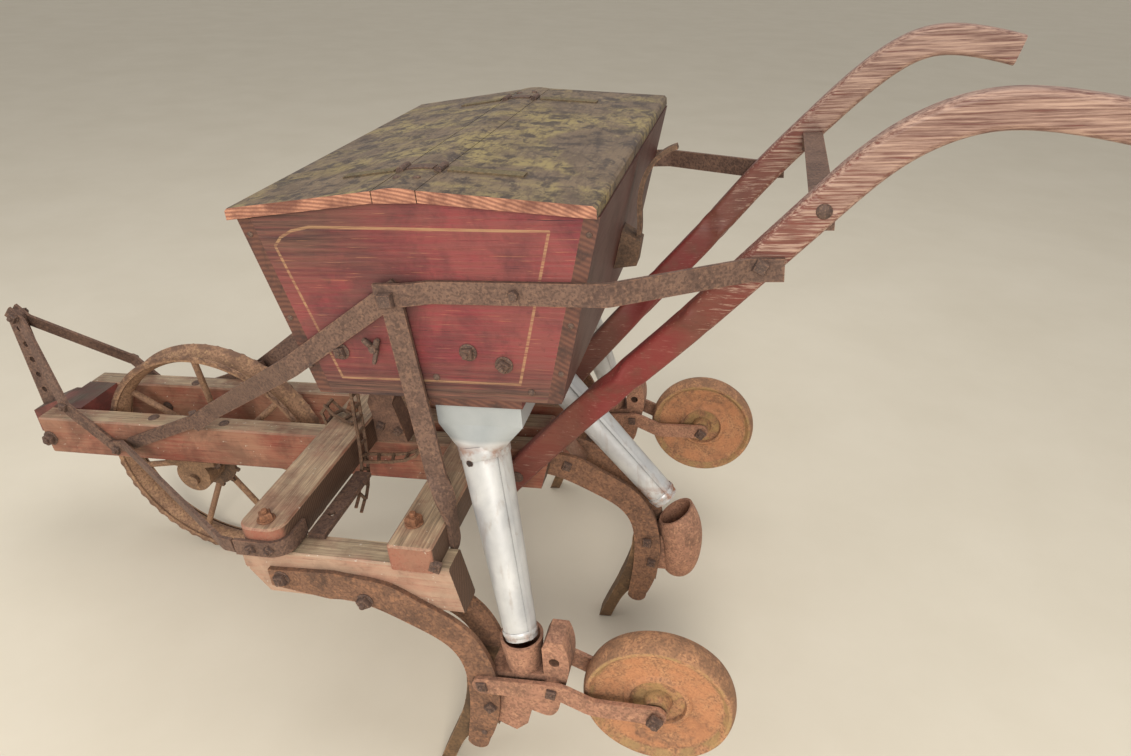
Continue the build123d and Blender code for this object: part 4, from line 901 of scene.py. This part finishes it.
# Tin funnels and spouts
# Tinned sheet, cut and folded at the seams: under each seed hole a funnel, square above and round below, and a tube
# that tapers down to its boot.
# Dull with faint clouds and drips, greyer on the funnels, and rusty at the necks and the lower ends.
tin, tree = begin("tin_plate")
place = coordinates(tree)
height_at = split(tree, deck_place(tree))["Z"]
cloud = noise(tree, place, 16.0, 6.0, 0.6, 0.4)
base = mix(tree, ramp(tree, cloud, (0.35, 0.0), (0.65, 1.0)), lin(182, 182, 182), lin(204, 203, 200))
spots = times(tree, ramp(tree, noise(tree, place, 30.0, 7.0, 0.7), (0.62, 0.0), (0.74, 1.0)), 0.5)
base = mix(tree, spots, base, lin(150, 118, 92))
on_funnel = band(tree, height_at, 0.168, 0.24, 0.006)
base = mix(tree, times(tree, on_funnel, 0.85), base, mix(tree, cloud, lin(140, 148, 152), lin(178, 182, 182)))
drip = ramp(tree, noise(tree, coordinates(tree, (60, 60, 3)), 1.0, 5.0, 0.6), (0.56, 0.0), (0.72, 0.55))
base = mix(tree, times(tree, drip, band(tree, height_at, -0.1, 0.1, 0.06)), base, lin(150, 128, 112))
neck = times(tree, band(tree, height_at, 0.138, 0.150, 0.012), 0.7)
rust = broken(tree, place, calc(tree, "MAXIMUM", neck, band(tree, height_at, -0.2, -0.124, 0.016)), 34.0, 0.44, 0.6)
base = mix(tree, rust, base, mix(tree, noise(tree, place, 60.0), lin(96, 58, 38), lin(170, 110, 64)))
dull = plus(tree, ramp(tree, cloud, (0.3, 0.34), (0.7, 0.54)), times(tree, rust, 0.4), True)
metal = minus(tree, 0.35, times(tree, rust, 0.35))
close(tree, base, dull, noise(tree, place, 120.0, 4.0), 0.15, metallic=metal)
dress(tin, *[f"{kind}_{row}" for kind in ("funnel", "spout") for row in FEET])


# Seams of the tin
# A folded seam down two sides of every tube, a torn collar where it hangs in its funnel, and a rolled ring at its foot.
# All of the same sheet as the tubes.
TUBE_TOP_Z = 143.5
TUBES = {"left": ((-50, 296), (-104, 386, -137)), "centre": ((-44, 0), (-273, 6, -148.5)),
         "right": ((-50, -296), (-104, -386, -137))}
TOP_RADIUS, TAPER, SEAM_PARTS = 36.8, 12, 6
COLLAR = ((36.6, -17), (37.7, -15), (38.2, -4), (38.4, 3), (37.2, 3.4))
FOOT_RING = ((25.6, -5), (26.9, -4), (27.3, 2), (26.1, 4))


def tin_seams(shape):
    for (x, y), foot_at in TUBES.values():
        top, foot_at = Vector((x, y, TUBE_TOP_Z)), Vector(foot_at)
        fall = (foot_at - top).normalized()
        for way in (Vector((1, -0.75, 0)), Vector((-1, 0.75, 0))):
            out = (way - fall * fall.dot(way)).normalized()
            shares = [k / SEAM_PARTS for k in range(SEAM_PARTS + 1)]
            points = [top.lerp(foot_at, share) + out * (TOP_RADIUS - TAPER * share) for share in shares]
            bar(shape, points, 5.8, 1.3, fall.cross(out), out)
        turned(shape, top, -fall, COLLAR, 40, rough=0.012, capped=False)
        turned(shape, top.lerp(foot_at, 0.965), -fall, FOOT_RING, 32, rough=0.015, capped=False)


piece("tin_seams", tin_seams, tin, sharp=50)


# Rust holes
# The collars of the two outer spouts are rusted through beside the rivet.
# A thin dark disc with a ragged edge stands for the hole. Its dark tones are painted shade: the shadowed inside of the
# tube seen through the hole.
def rust_holes(shape):
    for s in SIDES:
        out = (0.25, s * 0.97, 0.02)
        spot = seat(-40, s * 334, 133, out, 30)
        turned(shape, spot, out, ((5.4, 0.1), (5.6, 0.9), (3.8, 1.1)), 14, rough=0.12)


hole_painted_shade = rusty("hole_painted_shade", (20, 16, 14), (40, 30, 26), (58, 44, 38), pits=0.2, patch_scale=60.0, metal=0.0)
piece("rust_holes", rust_holes, hole_painted_shade)


# Floor, light and camera
# A plain pale floor under a soft even sky, a broad key lamp from the left, a weaker side lamp and one above.
floor_mesh = bpy.data.meshes.new("floor")
shape = bmesh.new()
bmesh.ops.create_grid(shape, x_segments=1, y_segments=1, size=30)
shape.to_mesh(floor_mesh)
shape.free()
floor = bpy.data.objects.new("floor", floor_mesh)
bpy.context.collection.objects.link(floor)
floor.location.z = -0.0005
floor_look, tree = begin("floor_plain")
place = coordinates(tree)
tone = mix(tree, noise(tree, place, 3.0, 6.0, 0.6), lin(206, 196, 176), lin(220, 211, 193))
close(tree, tone, 0.75, noise(tree, place, 40.0, 5.0), 0.05, crevice_shade=0.0)
floor_mesh.materials.append(floor_look)

world = bpy.data.worlds.new("studio")
bpy.context.scene.world = world
world.use_nodes = True
sky = world.node_tree.nodes["Background"]
sky.inputs["Color"].default_value = (1.0, 0.98, 0.95, 1)
sky.inputs["Strength"].default_value = 0.52


def lamp(name, place, target, size, watts, colour):
    data = bpy.data.lights.new(name, "AREA")
    data.shape = "DISK"
    data.size = size
    data.energy = watts
    data.color = colour
    light = bpy.data.objects.new(name, data)
    light.location = place
    light.rotation_euler = (Vector(target) - Vector(place)).to_track_quat("-Z", "Y").to_euler()
    bpy.context.collection.objects.link(light)


lamp("key", (-0.9, 3.0, 1.9), (0, 0, 0.3), 1.3, 84, (1.0, 0.96, 0.9))
lamp("side", (3.0, 2.4, 2.0), (0, 0, 0.4), 2.4, 45, (0.97, 0.98, 1.0))
lamp("top", (-0.6, -0.4, 4.0), (0, 0, 0.3), 3.4, 56, (1, 1, 1))

# The camera's place and turn on the deck were fitted to points of the photograph, 1131 pixels wide.
PHOTO_WIDTH = 1131
eye = bpy.data.cameras.new("camera")
eye.sensor_width = 36
eye.lens = 26.452
eye.shift_x = 3.283 / PHOTO_WIDTH
eye.shift_y = -16.687 / PHOTO_WIDTH
camera = bpy.data.objects.new("camera", eye)
bpy.context.collection.objects.link(camera)
eye_right = Vector((-0.97078, -0.22738, -0.07676))
eye_up = Vector((0.03839, -0.46286, 0.8856))
eye_back = Vector((-0.2369, 0.85677, 0.45806))
turn = Matrix.Rotation(PITCH, 3, "Y") @ Matrix((eye_right, eye_up, eye_back)).transposed()
camera.matrix_world = Matrix.Translation(DECK @ Vector((-442.52, 1250.27, 793.55))) @ turn.to_4x4()
bpy.context.scene.camera = camera
bpy.context.scene.view_settings.view_transform = "Standard"
